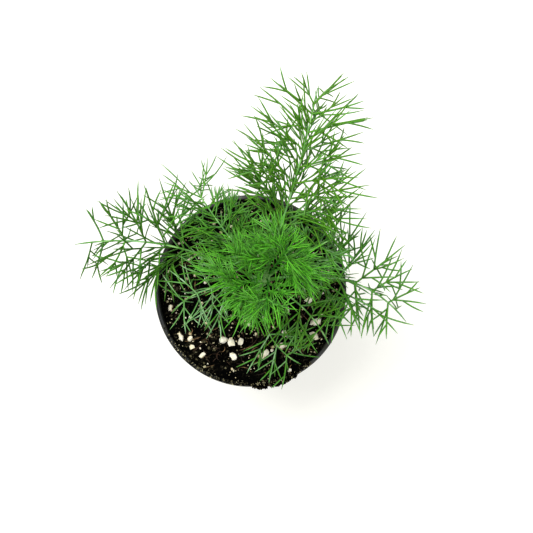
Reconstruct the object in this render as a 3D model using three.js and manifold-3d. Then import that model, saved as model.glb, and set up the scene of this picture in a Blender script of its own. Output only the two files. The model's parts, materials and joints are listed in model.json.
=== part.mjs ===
// A young dill plant growing in a round plastic nursery pot.
//
// Units are millimetres and +Z is up. The origin is the centre of the pot's flat underside, so the pot
// stands on z = 0. The pot is one thin shell, the potting mix fills it to just under the rim and heaps
// over the rim at one place, a short stem stands in a hole in the mix, and each leaf is a node of its own
// whose stalk clasps the stem.
//
// A dill leaf is built as it grows: a curved rachis carries pairs of pinnae, each pinna carries pairs of
// pinnules, and each pinnule forks into threads. Every stalk looks for free space before it is placed, so
// no leaf runs through another.

import * as THREE from "three";
import { mergeVertices } from "three/addons/utils/BufferGeometryUtils.js";
import Module from "manifold-3d";

const wasm = await Module();
wasm.setup();

// ---------------------------------------------------------------- driving dimensions

const GAP = 0.3; // air left between two touching pieces
const ROUND = Math.PI * 2;

const POT = {
  height: 90,
  rimRadius: 51, // outside of the lip
  baseRadius: 36.5, // outside of the wall at the foot
  wall: 1.2,
  floor: 1.8,
  bandHeight: 12, // the straight band under the lip
  lipWidth: 1.1, // how far the lip stands out from the band
  lipHeight: 3.2,
  footHeight: 3,
  footInset: 1.2, // the foot is this much narrower than the wall above it
  facets: 36,
};

const DRAIN = { holes: 6, radius: 4.2, ring: 24.5, facets: 8 };

const SOIL = {
  middle: 85.5, // height of the mix round the stem
  edge: 84.6, // mean height along the wall
  tilt: 3.4, // how much the edge rises towards the front and falls towards the back
  highSide: -75, // degrees, where the mix stands highest
  lipGap: 0.4, // clearance over the pot's lip where the mix spills onto it
  spill: 4.6, // how far the spilled mix reaches over the lip
  heap: 1.7, // height of the spilled mix above the lip
  spokes: 36,
  rings: 8,
};

// Waves that are added up for the lumps of the mix: length and height in mm, direction and start in radians.
const LUMPS = [
  { length: 37, height: 0.75, direction: 0.4, start: 1.1 },
  { length: 23, height: 0.6, direction: 1.9, start: 4.0 },
  { length: 15, height: 0.45, direction: 2.9, start: 0.3 },
  { length: 11, height: 0.4, direction: 0.9, start: 2.2 },
  { length: 8.5, height: 0.35, direction: 2.3, start: 5.1 },
];

// Perlite granules that catch the eye: place on the mix and mean size, in mm.
const PERLITE = [
  { x: -14.3, y: -26.8, size: 5.0 },
  { x: -10.4, y: -27.6, size: 4.6 },
  { x: -5.2, y: -27.4, size: 4.0 },
  { x: -9.4, y: -34.7, size: 4.2 },
  { x: 7.3, y: -33.3, size: 4.6 },
  { x: 17.4, y: -28.8, size: 4.2 },
  { x: 17.8, y: -23.2, size: 4.0 },
  { x: 33.5, y: -23.9, size: 5.0 },
  { x: 35.0, y: -16.5, size: 5.2 },
  { x: 31.6, y: -4.8, size: 4.4 },
  { x: 30.8, y: 5.7, size: 3.8 },
  { x: 19.4, y: -10.8, size: 3.8 },
  { x: -43.1, y: -9.4, size: 3.2 },
  { x: -37.1, y: -24.9, size: 3.4 },
  { x: -32.5, y: -25.7, size: 3.4 },
  { x: -31.4, y: -30.2, size: 3.0 },
  { x: -26.1, y: -34.4, size: 3.2 },
  { x: -0.6, y: -18.1, size: 2.8 },
  { x: 20.8, y: -41.8, size: 2.6 },
  { x: -24.0, y: 6.2, size: 3.0 },
  { x: -33.0, y: 17.5, size: 2.8 },
  { x: 33.8, y: 19.0, size: 3.0 },
  { x: 11.0, y: 37.5, size: 2.6 },
];
const CLEARANCE = 2.3; // least height of a stalk over the mix, its granules and the lip
const PERLITE_RISE = 0.05; // how far above the mix a granule's middle is, over its size

const STEM = {
  path: [[5, 4, 72], [5.5, 4.5, 95], [8, 7, 115], [9, 9, 138]], // from its hole in the mix, up and leaning
  radii: [2.0, 2.6, 2.7, 2.5, 2.2, 1.8, 1.2], // evenly spaced from foot to top
  sides: 8,
};

// The leaves, from the lowest up. base is the share of the stem's length at which the stalk clasps it, and
// bend1, bend2 and tip are the other control points of the rachis. bare is the share of the rachis without
// pinnae. pinnules lists how many stations of pinnules each pair of pinnae carries, from the lowest pair up.
// reach is the length of the lowest pinna, upper that of the uppermost over it, and fine the length of a
// pinnule. whorl puts pinnules all round each pinna. spread is the angle of the pinnae to the rachis,
// fork that of the threads to their pinnule, and roll turns the blade round the rachis.
const LEAVES = [
  {
    name: "leaf_front_low",
    base: 0.27,
    bend1: [3, -12, 104],
    bend2: [10, -30, 104],
    tip: [27, -38, 101],
    bare: 0.55,
    pinnules: [2, 2, 1],
    reach: 24,
    upper: 0.75,
    fine: 15,
    spread: 56,
    fork: 30,
    roll: 0,
    stalk: 0.95,
  },
  {
    name: "leaf_left",
    base: 0.335,
    bend1: [-20, 19, 115],
    bend2: [-47, 31, 122],
    tip: [-92, 24, 106],
    bare: 0.47,
    pinnules: [3, 2, 2, 1, 0],
    reach: 38,
    upper: 0.55,
    fine: 22,
    spread: 60,
    fork: 31,
    roll: 0,
    stalk: 1.15,
  },
  {
    name: "leaf_right",
    base: 0.4,
    bend1: [26, 10, 120],
    bend2: [57, 14, 124],
    tip: [82, -17, 101],
    bare: 0.42,
    pinnules: [3, 3, 2, 2, 1],
    reach: 38,
    upper: 0.55,
    fine: 21,
    spread: 60,
    fork: 29,
    roll: -6,
    stalk: 1.15,
  },
  {
    name: "leaf_front_left",
    base: 0.465,
    bend1: [-10, 4, 124],
    bend2: [-28, 4, 128],
    tip: [-41, -12, 104],
    bare: 0.36,
    pinnules: [3, 2, 2, 1],
    reach: 27,
    upper: 0.6,
    fine: 16,
    spread: 62,
    fork: 26,
    roll: 8,
    stalk: 1.0,
  },
  {
    name: "leaf_front_right",
    base: 0.53,
    bend1: [20, -1, 129],
    bend2: [32, -9, 132],
    tip: [41, -28, 104],
    bare: 0.34,
    pinnules: [3, 3, 2, 1],
    reach: 27,
    upper: 0.6,
    fine: 16,
    spread: 62,
    fork: 26,
    roll: 6,
    stalk: 1.0,
  },
  {
    name: "leaf_back_left",
    base: 0.58,
    bend1: [-2, 17, 133],
    bend2: [-13, 31, 138],
    tip: [-29, 55, 127],
    bare: 0.3,
    pinnules: [3, 3, 2, 1],
    reach: 28,
    upper: 0.6,
    fine: 16,
    spread: 62,
    fork: 25,
    roll: 0,
    stalk: 1.05,
  },
  {
    name: "leaf_back",
    base: 0.685,
    bend1: [12, 24, 145],
    bend2: [24, 54, 166],
    tip: [32, 96, 162],
    bare: 0.38,
    pinnules: [4, 4, 3, 3, 2, 1, 1, 0],
    reach: 43,
    upper: 0.62,
    fine: 18,
    spread: 60,
    fork: 24,
    roll: 4,
    stalk: 1.25,
  },
  {
    name: "leaf_young_left",
    base: 0.725,
    bend1: [3, 8, 138],
    bend2: [0, 6, 149],
    tip: [-8, 1, 156],
    bare: 0.26,
    pinnules: [3, 2, 2],
    reach: 21,
    upper: 0.7,
    fine: 13,
    spread: 57,
    fork: 22,
    roll: 0,
    whorl: true,
    stalk: 0.9,
  },
  {
    name: "leaf_back_right",
    base: 0.79,
    bend1: [22, 17, 146],
    bend2: [34, 24, 152],
    tip: [49, 30, 134],
    bare: 0.3,
    pinnules: [3, 3, 2, 1],
    reach: 25,
    upper: 0.6,
    fine: 15,
    spread: 61,
    fork: 24,
    roll: 0,
    stalk: 1.0,
  },
  {
    name: "leaf_young_front",
    base: 0.855,
    bend1: [10, 4, 146],
    bend2: [9, 0, 155],
    tip: [8, -7, 160],
    bare: 0.24,
    pinnules: [3, 2, 2],
    reach: 20,
    upper: 0.7,
    fine: 13,
    spread: 53,
    fork: 22,
    roll: 0,
    whorl: true,
    stalk: 0.85,
  },
  {
    name: "leaf_young_back",
    base: 0.92,
    bend1: [13, 13, 152],
    bend2: [15, 17, 165],
    tip: [18, 21, 174],
    bare: 0.24,
    pinnules: [3, 2, 2],
    reach: 20,
    upper: 0.7,
    fine: 13,
    spread: 52,
    fork: 22,
    roll: 0,
    whorl: true,
    stalk: 0.85,
  },
];

const GROWTH = {
  bareSteps: 5, // stretches in the bare part of a rachis
  rachisSides: 4,
  rachisTaper: 0.45, // radius of a rachis at its tip over that above its sheath
  sheath: 1.8, // the stalk is this many times thicker where it clasps the stem
  sheathShare: 0.2, // share of the rachis over which the sheath narrows
  pinnaRadius: 0.6,
  pinnuleRadius: 0.54,
  threadRadius: 0.48,
  pointRadius: 0.1, // radius that is kept free at the point of a stalk
  taper: 0.8, // radius of a stalk at its last station over that at its first
  station: 1.7, // length of the stretch of a stalk that others grow from
  nodeStation: 2.2, // the same on a rachis
  pinnuleFrom: 0.14, // share of a pinna at which its first pinnules stand
  firstPinnule: 3.2, // nearest that pinnules may be to a pinna's root
  stationGap: 2.3, // least way from one station of pinnules to the next
  pinnuleFade: 0.3, // how much shorter a pinnule near the pinna's tip is
  pinnuleAngle: 40,
  turn: 12, // degrees over which the angles of pinnules and threads vary
  forkAt: 0.28, // where a pinnule forks
  threadLength: 0.84, // length of a fork's thread over its pinnule
  endForkAt: 0.6, // where a pinna forks at its end
  endThreadLength: 0.46,
  sway: 24, // degrees that a stalk may lean off the middle of the facet that it grows from
  bow: 0.06, // how far a pinna arches up at its middle, over its length
  shortest: 6.5, // a shorter stalk isn't grown
  firstStation: 3.2, // nearest that a station may be to a stalk's root
  root: 1.6, // length of a stalk's root, which may stand close to its neighbours
  tries: 10,
  tryAngle: 6, // degrees more that a stalk may turn at each new try
  shorter: 0.6, // a stalk that finds no room is tried this much shorter, then left out
  stalkSteep: 0.45, // least share of a forking stalk's way that leads straight out of its facet
  threadSteep: 0.27, // the same for a thread
  ahead: 0.1, // least share of a stalk's way that leads along its parent
  air: 0.46, // least air between two stalks that don't grow from each other
};

const GREEN = { leaf: 0x3f8f2c, young: 0x55a92f, stem: 0x86b876 };

// ---------------------------------------------------------------- small helpers

const FACETS = [30, 150, 270]; // the way that each facet of a three-sided stalk faces, in degrees
const vector = (x, y, z) => new THREE.Vector3(x, y, z);
const radians = THREE.MathUtils.degToRad;
const mix = THREE.MathUtils.lerp;

/** A stream of seeded random numbers from 0 to 1. */
function draws(seed) {
  let state = Math.imul(seed + 1, 747796405) >>> 0;
  return () => {
    state = (Math.imul(state, 1664525) + 1013904223) >>> 0;
    return state / 4294967296;
  };
}

/** 0 at from, 1 at to, and smooth between them. */
function ease(value, from, to) {
  const share = Math.min(1, Math.max(0, (value - from) / (to - from)));
  return share * share * (3 - 2 * share);
}

/** A closed geometry as a solid that can be joined and cut. */
function solidFrom(geometry) {
  const bare = geometry.clone();
  bare.deleteAttribute("normal");
  bare.deleteAttribute("uv");
  const merged = mergeVertices(bare, 1e-4);
  const corners = merged.index.array;
  const faces = [];
  for (let i = 0; i < corners.length; i += 3) {
    const [a, b, c] = corners.slice(i, i + 3);
    if (a !== b && b !== c && c !== a) faces.push(a, b, c);
  }
  return new wasm.Manifold(
    new wasm.Mesh({
      numProp: 3,
      vertProperties: merged.attributes.position.array,
      triVerts: new Uint32Array(faces),
    }),
  );
}

/** A solid as a geometry again. */
function geometryFrom(solid) {
  const mesh = solid.getMesh();
  const places = new Float32Array(mesh.numVert * 3);
  for (let i = 0; i < mesh.numVert; i++) {
    places.set(mesh.vertProperties.subarray(i * mesh.numProp, i * mesh.numProp + 3), i * 3);
  }
  const geometry = new THREE.BufferGeometry();
  geometry.setAttribute("position", new THREE.BufferAttribute(places, 3));
  geometry.setIndex(new THREE.BufferAttribute(mesh.triVerts, 1));
  geometry.computeVertexNormals();
  return geometry;
}

/** The largest piece of a solid that a cut or a join leaves in several. */
function largestPiece(solid) {
  return solid.decompose().sort((one, two) => two.volume() - one.volume())[0];
}

/** A tapered rod through points, with one radius for each point. */
function rod(points, radii, sides) {
  const steps = points.length - 1;
  const geometry = new THREE.CylinderGeometry(1, 1, 1, sides, steps);
  const along = points[steps].clone().sub(points[0]).normalize();
  const aside = Math.abs(along.z) < 0.9 ? vector(0, 0, 1) : vector(1, 0, 0);
  const place = geometry.attributes.position;
  for (let i = 0; i < place.count; i++) {
    const step = Math.round((place.getY(i) + 0.5) * steps);
    const before = points[Math.max(0, step - 1)];
    const after = points[Math.min(steps, step + 1)];
    const tangent = after.clone().sub(before).normalize();
    const u = aside.clone().addScaledVector(tangent, -aside.dot(tangent)).normalize();
    const v = u.clone().cross(tangent);
    const at = points[step].clone();
    at.addScaledVector(u, place.getX(i) * radii[step]);
    at.addScaledVector(v, place.getZ(i) * radii[step]);
    place.setXYZ(i, at.x, at.y, at.z);
  }
  return solidFrom(geometry);
}

function node(name, solid, color, roughness) {
  const material = new THREE.MeshStandardMaterial({ color, roughness, metalness: 0 });
  const mesh = new THREE.Mesh(geometryFrom(solid), material);
  mesh.name = name;
  return mesh;
}

// ---------------------------------------------------------------- the pot

/** Outside radius of the pot's tapered wall at a height. */
function wallRadius(z) {
  const bandRadius = POT.rimRadius - POT.lipWidth;
  const share = (z - POT.footHeight) / (POT.height - POT.bandHeight - POT.footHeight);
  return mix(POT.baseRadius, bandRadius - POT.wall, Math.min(1, Math.max(0, share)));
}

/** Inside radius of the pot at a height. The band is stepped out from the wall below it. */
function boreRadius(z) {
  const shoulder = POT.height - POT.bandHeight;
  return z > shoulder ? POT.rimRadius - POT.lipWidth - POT.wall : wallRadius(z) - POT.wall;
}

function potSolid() {
  const shoulder = POT.height - POT.bandHeight;
  const band = POT.rimRadius - POT.lipWidth;
  const lipFoot = POT.height - POT.lipHeight;
  const profile = [
    [0, 0],
    [POT.baseRadius - POT.footInset - 1, 0],
    [POT.baseRadius - POT.footInset, 1],
    [POT.baseRadius - POT.footInset, POT.footHeight - 0.6],
    [POT.baseRadius, POT.footHeight],
    [wallRadius(shoulder - 1), shoulder - 1],
    [band, shoulder + 0.6],
    [band, lipFoot],
    [POT.rimRadius, lipFoot + 0.5],
    [POT.rimRadius, POT.height - 0.6],
    [POT.rimRadius - 0.7, POT.height],
    [band - POT.wall + 0.4, POT.height],
    [band - POT.wall, POT.height - 0.5],
    [band - POT.wall, shoulder + 0.4],
    [boreRadius(shoulder - 1.6), shoulder - 1.6],
    [boreRadius(POT.floor + 2), POT.floor + 2],
    [boreRadius(POT.floor) - 2, POT.floor],
    [0, POT.floor],
  ].map(([radius, z]) => new THREE.Vector2(radius, z));
  const shell = new THREE.LatheGeometry(profile, POT.facets).rotateX(Math.PI / 2);
  let pot = solidFrom(shell);
  for (let i = 0; i < DRAIN.holes; i++) {
    const angle = (i / DRAIN.holes) * ROUND;
    const drill = new THREE.CylinderGeometry(
      DRAIN.radius, DRAIN.radius, POT.floor * 4, DRAIN.facets);
    drill.rotateX(Math.PI / 2);
    drill.translate(DRAIN.ring * Math.cos(angle), DRAIN.ring * Math.sin(angle), 0);
    pot = pot.subtract(solidFrom(drill));
  }
  return pot;
}

// ---------------------------------------------------------------- the potting mix

/** Turn from the mix's high side, in degrees from 0 to 180. */
function turnFromHighSide(angle) {
  const turn = THREE.MathUtils.radToDeg(angle) - SOIL.highSide;
  return Math.abs(THREE.MathUtils.euclideanModulo(turn + 180, 360) - 180);
}

/** How much of the spill over the lip there is at an angle, from 0 to 1. */
const spillAt = (angle) => 1 - ease(turnFromHighSide(angle), 9, 21);

/** Height of the mix where it meets the wall. It stands level with the lip along the spill. */
function edgeHeight(angle) {
  const turn = turnFromHighSide(angle);
  const sloped = SOIL.edge + SOIL.tilt * Math.cos(radians(turn));
  return mix(POT.height + SOIL.lipGap, sloped, ease(turn, 28, 52));
}

/** The lumps of the mix above its mean surface. */
function relief(x, y) {
  return LUMPS.reduce((sum, wave) => {
    const way = x * Math.cos(wave.direction) + y * Math.sin(wave.direction);
    return sum + wave.height * Math.sin((way / wave.length) * ROUND + wave.start);
  }, 0);
}

/** Height of the mix's surface. */
function soilTop(x, y) {
  const angle = Math.atan2(y, x);
  const outward = Math.min(1, Math.hypot(x, y) / (POT.rimRadius - 2));
  const rim = edgeHeight(angle) + 0.5 + SOIL.heap * spillAt(angle);
  const calm = 1 - 0.65 * ease(outward, 0.8, 1);
  return mix(SOIL.middle, rim, outward ** 2) + relief(x, y) * calm;
}

/** The mix's rings from the middle of its foot, up the wall and in over its top, as [radius, height]. */
function soilRing(ring, angle) {
  const wallTop = POT.rimRadius - POT.lipWidth - POT.wall - GAP;
  const foot = POT.floor + GAP;
  const shoulder = POT.height - POT.bandHeight;
  const edge = edgeHeight(angle);
  const reach = wallTop + SOIL.spill * spillAt(angle);
  if (ring === 0) return [boreRadius(foot) - GAP - 2.4, foot];
  if (ring === 1) return [boreRadius(shoulder - 2) - GAP, shoulder - 2];
  if (ring === 2) return [wallTop, Math.min(shoulder + 1, edge - 1)];
  if (ring === 3) return [wallTop, edge];
  if (ring === 4) return [reach, edge + 0.1];
  const inward = (ring - 5) / SOIL.rings;
  const radius = (reach - 0.35) * (1 - inward);
  return [radius, soilTop(radius * Math.cos(angle), radius * Math.sin(angle))];
}

function soilSolid() {
  const ringCount = SOIL.rings + 5;
  const places = [];
  for (let ring = 0; ring < ringCount; ring++) {
    for (let spoke = 0; spoke < SOIL.spokes; spoke++) {
      const angle = (spoke / SOIL.spokes) * ROUND;
      const [radius, z] = soilRing(ring, angle);
      places.push(radius * Math.cos(angle), radius * Math.sin(angle), z);
    }
  }
  const faces = [];
  for (let ring = 0; ring < ringCount - 1; ring++) {
    for (let spoke = 0; spoke < SOIL.spokes; spoke++) {
      const next = (spoke + 1) % SOIL.spokes;
      const [a, b] = [ring * SOIL.spokes + spoke, ring * SOIL.spokes + next];
      const [c, d] = [a + SOIL.spokes, b + SOIL.spokes];
      faces.push(a, b, d, a, d, c);
    }
  }
  const foot = places.length / 3;
  const crest = foot + 1;
  places.push(0, 0, POT.floor + GAP, 0, 0, soilTop(0, 0));
  const lastRing = (ringCount - 1) * SOIL.spokes;
  for (let spoke = 0; spoke < SOIL.spokes; spoke++) {
    const next = (spoke + 1) % SOIL.spokes;
    faces.push(foot, next, spoke);
    faces.push(crest, lastRing + spoke, lastRing + next);
  }
  const surface = new THREE.BufferGeometry();
  surface.setAttribute("position", new THREE.Float32BufferAttribute(places, 3));
  surface.setIndex(faces);
  const granules = PERLITE.map(perliteSolid);
  const mixWithPerlite = wasm.Manifold.union([solidFrom(surface), ...granules]);
  return largestPiece(mixWithPerlite.subtract(stemSolid(GAP)));
}

/** A lumpy granule, half sunk in the mix. */
function perliteSolid({ x, y, size }, index) {
  const random = draws(900 + index);
  const granule = new THREE.IcosahedronGeometry(size / 2, 0);
  granule.scale(mix(0.85, 1.2, random()), mix(0.75, 1.0, random()), mix(0.7, 0.9, random()));
  granule.rotateX(random() * ROUND);
  granule.rotateZ(random() * ROUND);
  granule.translate(x, y, soilTop(x, y) + size * PERLITE_RISE);
  return solidFrom(granule);
}

// ---------------------------------------------------------------- the stem

const stemCurve = new THREE.CubicBezierCurve3(...STEM.path.map((place) => vector(...place)));

/** The stem's body, made wider by extra where it cuts its own seat. */
function stemSolid(extra = 0) {
  const steps = STEM.radii.length - 1;
  const points = stemCurve.getPoints(steps);
  points[0].z -= extra;
  points[steps].z += extra;
  return rod(points, STEM.radii.map((radius) => radius + extra), STEM.sides);
}

// ---------------------------------------------------------------- growing clear of each other

/** Every stretch of stalk that already stands, with its ends, its radii and the stalk it belongs to. */
const standing = [];

/** Distance between two tapered stretches where they are closest, less their radii. */
function airBetween(one, two) {
  const along = one.to.clone().sub(one.from);
  const across = two.to.clone().sub(two.from);
  const apart = one.from.clone().sub(two.from);
  const [a, b, c] = [along.dot(along), along.dot(across), across.dot(across)];
  const [d, e] = [along.dot(apart), across.dot(apart)];
  const clamp = (value) => Math.min(1, Math.max(0, value));
  let s = clamp((b * e - c * d) / Math.max(a * c - b * b, 1e-9));
  const t = clamp((b * s + e) / c);
  s = clamp((b * t - d) / a);
  const distance = apart.addScaledVector(along, s).addScaledVector(across, -t).length();
  return distance - mix(one.thick, one.thin, s) - mix(two.thick, two.thin, t);
}

/** Lowest height that a stalk may have over a place: just over the mix, the lip or the floor. */
function ground(x, y) {
  const radius = Math.hypot(x, y);
  if (radius > POT.rimRadius + SOIL.spill + 1) return 1;
  const underfoot = radius > POT.rimRadius - 5 ? Math.max(POT.height, soilTop(x, y)) : soilTop(x, y);
  return underfoot + CLEARANCE;
}

function isAboveGround({ from, to }) {
  return [0, 0.5, 1].every((share) => {
    const at = from.clone().lerp(to, share);
    return at.z > ground(at.x, at.y);
  });
}

/** A stretch of stalk without the root that it shares with its neighbours. */
const withoutRoot = (stretch) => ({ ...stretch, from: stretch.clear });

/** Whether a stretch of stalk has room. The stalk that it grows from doesn't count. */
function hasRoom(stretch) {
  const blocked = standing.some((other) => {
    if (other.owner === stretch.parent) return false;
    const nearest = stretch.middle.distanceTo(other.middle) - stretch.half - other.half;
    if (nearest > 3) return false;
    if (other.parent !== stretch.parent) return airBetween(stretch, other) < GROWTH.air;
    return airBetween(withoutRoot(stretch), withoutRoot(other)) < GROWTH.air;
  });
  return !blocked && isAboveGround(stretch);
}

/** A straight stretch of stalk, ready to be tested and to stand. */
function stretchOf(owner, from, to, thick, thin) {
  const middle = from.clone().lerp(to, 0.5);
  return { owner, from, to, thick, thin, middle, half: from.distanceTo(to) / 2 };
}

/** The straight stretches of a stalk between shares of its length. */
function stretchesOf({ name, parent, curve, length, thick }, shares) {
  const points = shares.map((share) => curve.getPoint(share));
  return points.slice(1).map((to, i) => {
    const radii = [shares[i], shares[i + 1]].map((share) => mix(thick, GROWTH.pointRadius, share));
    const stretch = stretchOf(name, points[i], to, ...radii);
    const clear = i ? points[i] : curve.getPoint(GROWTH.root / length);
    return { ...stretch, parent, clear };
  });
}

/** The middle of a parent's facet, and half its width and length across and along the parent. */
function rootOf({ facet, tangent, side, normal, radius, sides, station }) {
  const facing = radians(facet);
  const outward = side.clone().multiplyScalar(Math.cos(facing)).addScaledVector(normal, Math.sin(facing));
  const across = tangent.clone().cross(outward);
  return { outward, across, halfWidth: radius * Math.sin(Math.PI / sides), halfLength: station / 2 };
}

/** The frame in which a stalk's three corners follow the three corners of its root without a twist. */
function frameAlong(way, { outward, across, halfWidth, halfLength }, tangent) {
  const first = across.clone().addScaledVector(way, -across.dot(way)).normalize();
  const second = way.clone().cross(first);
  const corners = [[-2, -1], [1, -1], [1, 2]].map(([wide, long]) =>
    across.clone().multiplyScalar(wide * halfWidth).addScaledVector(tangent, long * halfLength),
  );
  const turns = corners.map((corner, i) => {
    return Math.atan2(corner.dot(second), corner.dot(first)) - (i * ROUND) / 3;
  });
  const sum = (of) => turns.reduce((total, turn) => total + of(turn), 0);
  const turn = Math.atan2(sum(Math.sin), sum(Math.cos)) + ROUND / 12;
  const side = first.multiplyScalar(Math.cos(turn)).addScaledVector(second, Math.sin(turn));
  return { side, normal: way.clone().cross(side), outward };
}

/**
 * Looks for room for a stalk that grows from a facet of its parent, turning it a little more at each try,
 * and stands it there. It returns nothing where there is no room.
 */
function sprout(parent, place, wish, random) {
  const { point, tangent } = place;
  const root = rootOf(place);
  const { outward, across } = root;
  const sway = radians(GROWTH.sway) * (2 * random() - 1);
  const aside = outward.clone().multiplyScalar(Math.cos(sway)).addScaledVector(across, Math.sin(sway));
  const angle = radians(wish.angle);
  const start = tangent.clone().multiplyScalar(Math.cos(angle)).addScaledVector(aside, Math.sin(angle));
  for (const share of [1, GROWTH.shorter]) {
    const length = wish.length * share;
    if (length < GROWTH.shortest) return null;
    for (let attempt = 0; attempt < GROWTH.tries; attempt++) {
      const reach = 2 * Math.sin(radians(GROWTH.tryAngle * attempt));
      const shift = vector(random() - 0.5, random() - 0.5, random() - 0.5);
      const way = start.clone().addScaledVector(shift, reach).normalize();
      if (way.dot(outward) < wish.steep || way.dot(tangent) < GROWTH.ahead) continue;
      const frame = frameAlong(way, root, tangent);
      const middle = point.clone().addScaledVector(way, length / 2);
      middle.addScaledVector(place.normal, 2 * wish.bow * length);
      const to = point.clone().addScaledVector(way, length);
      const curve = new THREE.QuadraticBezierCurve3(point.clone(), middle, to);
      const { name, thick, bow } = wish;
      const stalk = { name, parent, curve, way, ...frame, length, thick, stations: [] };
      const stretches = stretchesOf(stalk, bow ? [0, 0.3, 0.65, 1] : [0, 1]);
      if (stretches.every(hasRoom)) {
        standing.push(...stretches);
        return stalk;
      }
    }
  }
  return null;
}

/** The place of a facet on a stalk that others can grow from. */
function placeOn(stalk, share, facet) {
  const { side, normal, way: tangent, thick: radius, curve } = stalk;
  const { station } = GROWTH;
  return { facet, point: curve.getPoint(share), tangent, side, normal, radius, sides: 3, station };
}

// ---------------------------------------------------------------- the leaves

/** The rachis of a leaf, with a place for each pair of pinnae. */
function rachisOf(leaf) {
  const foot = stemCurve.getPoint(leaf.base);
  const [bend1, bend2, tip] = [leaf.bend1, leaf.bend2, leaf.tip].map((place) => vector(...place));
  const curve = new THREE.CubicBezierCurve3(foot, bend1, bend2, tip);
  const heading = vector(tip.x - foot.x, tip.y - foot.y, 0).normalize();
  const level = vector(heading.y, -heading.x, 0).applyAxisAngle(heading, radians(-leaf.roll));
  const pairs = leaf.pinnules.length;
  const shares = leaf.pinnules.map((_, pair) => mix(leaf.bare, 0.96, pair / pairs));
  return { leaf, curve, level, shares, length: curve.getLength(), stations: [] };
}

/** Radius of a rachis at a share of its length. */
function rachisRadius(leaf, share) {
  const clasp = mix(GROWTH.sheath, 1, ease(share, 0, GROWTH.sheathShare));
  return leaf.stalk * mix(1, GROWTH.rachisTaper, share) * clasp;
}

/** Point, tangent, side and normal of a rachis. */
function bladeAt({ curve, level }, share) {
  const tangent = curve.getTangent(share);
  const side = level.clone().addScaledVector(tangent, -level.dot(tangent)).normalize();
  return { point: curve.getPoint(share), tangent, side, normal: tangent.clone().cross(side) };
}

/** Stands the stretches of a rachis, which everything else then grows clear of. */
function standRachis(rachis) {
  const steps = 9;
  for (let i = 0; i < steps; i++) {
    const [near, far] = [i / steps, (i + 1) / steps];
    const ends = [near, far].map((share) => rachis.curve.getPoint(share));
    const radii = [near, far].map((share) => rachisRadius(rachis.leaf, share));
    standing.push(stretchOf(rachis.leaf.name, ...ends, ...radii));
  }
}

/** The pinnae of one leaf, in pairs from the lowest up. */
function growPinnae(rachis, seed) {
  const { leaf, shares } = rachis;
  const random = draws(seed);
  return leaf.pinnules.flatMap((pinnules, pair) => {
    const share = shares[pair];
    const radius = rachisRadius(leaf, share);
    const place = { ...bladeAt(rachis, share), radius, sides: 4, station: GROWTH.nodeStation };
    const upward = pair / Math.max(1, shares.length - 1);
    const length = leaf.reach * mix(1, leaf.upper, upward);
    const pinnae = [0, 180].map((facet) => {
      const wish = {
        name: `${leaf.name}.${pair}.${facet}`,
        length: length * mix(0.88, 1.08, random()),
        angle: leaf.spread + 10 * (random() - 0.5),
        thick: GROWTH.pinnaRadius,
        steep: GROWTH.stalkSteep,
        bow: GROWTH.bow,
      };
      const pinna = sprout(leaf.name, { ...place, facet }, wish, random);
      return pinna && { ...pinna, pinnules, fine: leaf.fine, fork: leaf.fork, whorl: leaf.whorl, random };
    });
    rachis.stations.push({ share, stalks: [pinnae[0], null, pinnae[1], null] });
    return pinnae.filter(Boolean);
  });
}

/** The pinnules of one pinna: two at a station, beside it, or three all round it. */
function growPinnules(pinna) {
  const { pinnules, whorl, fine, fork, random } = pinna;
  const from = Math.max(GROWTH.pinnuleFrom, GROWTH.firstPinnule / pinna.length);
  const room = (GROWTH.endForkAt - from) * pinna.length;
  const count = Math.min(pinnules, Math.floor(room / GROWTH.stationGap));
  return Array.from({ length: count }).flatMap((_, order) => {
    const share = mix(from, GROWTH.endForkAt, order / count);
    const isWhorl = whorl || order % 2 === 1;
    const stalks = FACETS.map((facet) => {
      if (facet === FACETS[2] && !isWhorl) return null;
      const wish = {
        name: `${pinna.name}.${order}.${facet}`,
        length: fine * (1 - GROWTH.pinnuleFade * share) * mix(0.85, 1.15, random()),
        angle: GROWTH.pinnuleAngle + GROWTH.turn * (random() - 0.5),
        thick: GROWTH.pinnuleRadius,
        steep: GROWTH.stalkSteep,
        bow: 0,
      };
      const pinnule = sprout(pinna.name, placeOn(pinna, share, facet), wish, random);
      return pinnule && { ...pinnule, fork, random };
    });
    pinna.stations.push({ share, stalks });
    return stalks.filter(Boolean);
  });
}

/** The threads that a stalk forks into beside its own tip. */
function growThreads(stalk, forkAt, lengthShare) {
  const share = Math.max(forkAt, GROWTH.firstStation / stalk.length);
  const threads = FACETS.map((facet) => {
    const wish = {
      name: `${stalk.name}.${facet}`,
      length: stalk.length * lengthShare * mix(0.85, 1.15, stalk.random()),
      angle: stalk.fork + GROWTH.turn * (stalk.random() - 0.5),
      thick: GROWTH.threadRadius,
      steep: GROWTH.threadSteep,
      bow: 0,
    };
    return sprout(stalk.name, placeOn(stalk, share, facet), wish, stalk.random);
  });
  stalk.stations.push({ share, stalks: threads });
}

/** Grows every leaf one order at a time, so that no leaf takes all the room before the next starts. */
function growLeaves() {
  const thickest = Math.max(...STEM.radii);
  const onStem = stemCurve.getPoints(6);
  for (let i = 0; i < onStem.length - 1; i++) {
    standing.push(stretchOf("stem", onStem[i], onStem[i + 1], thickest, thickest));
  }
  const rachises = LEAVES.map(rachisOf);
  rachises.forEach(standRachis);
  const pinnae = rachises.flatMap(growPinnae);
  const pinnules = pinnae.flatMap(growPinnules);
  pinnae.forEach((pinna) => growThreads(pinna, GROWTH.endForkAt, GROWTH.endThreadLength));
  pinnules.forEach((pinnule) => growThreads(pinnule, GROWTH.forkAt, GROWTH.threadLength));
  return rachises;
}

// ---------------------------------------------------------------- the leaves' skin

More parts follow.
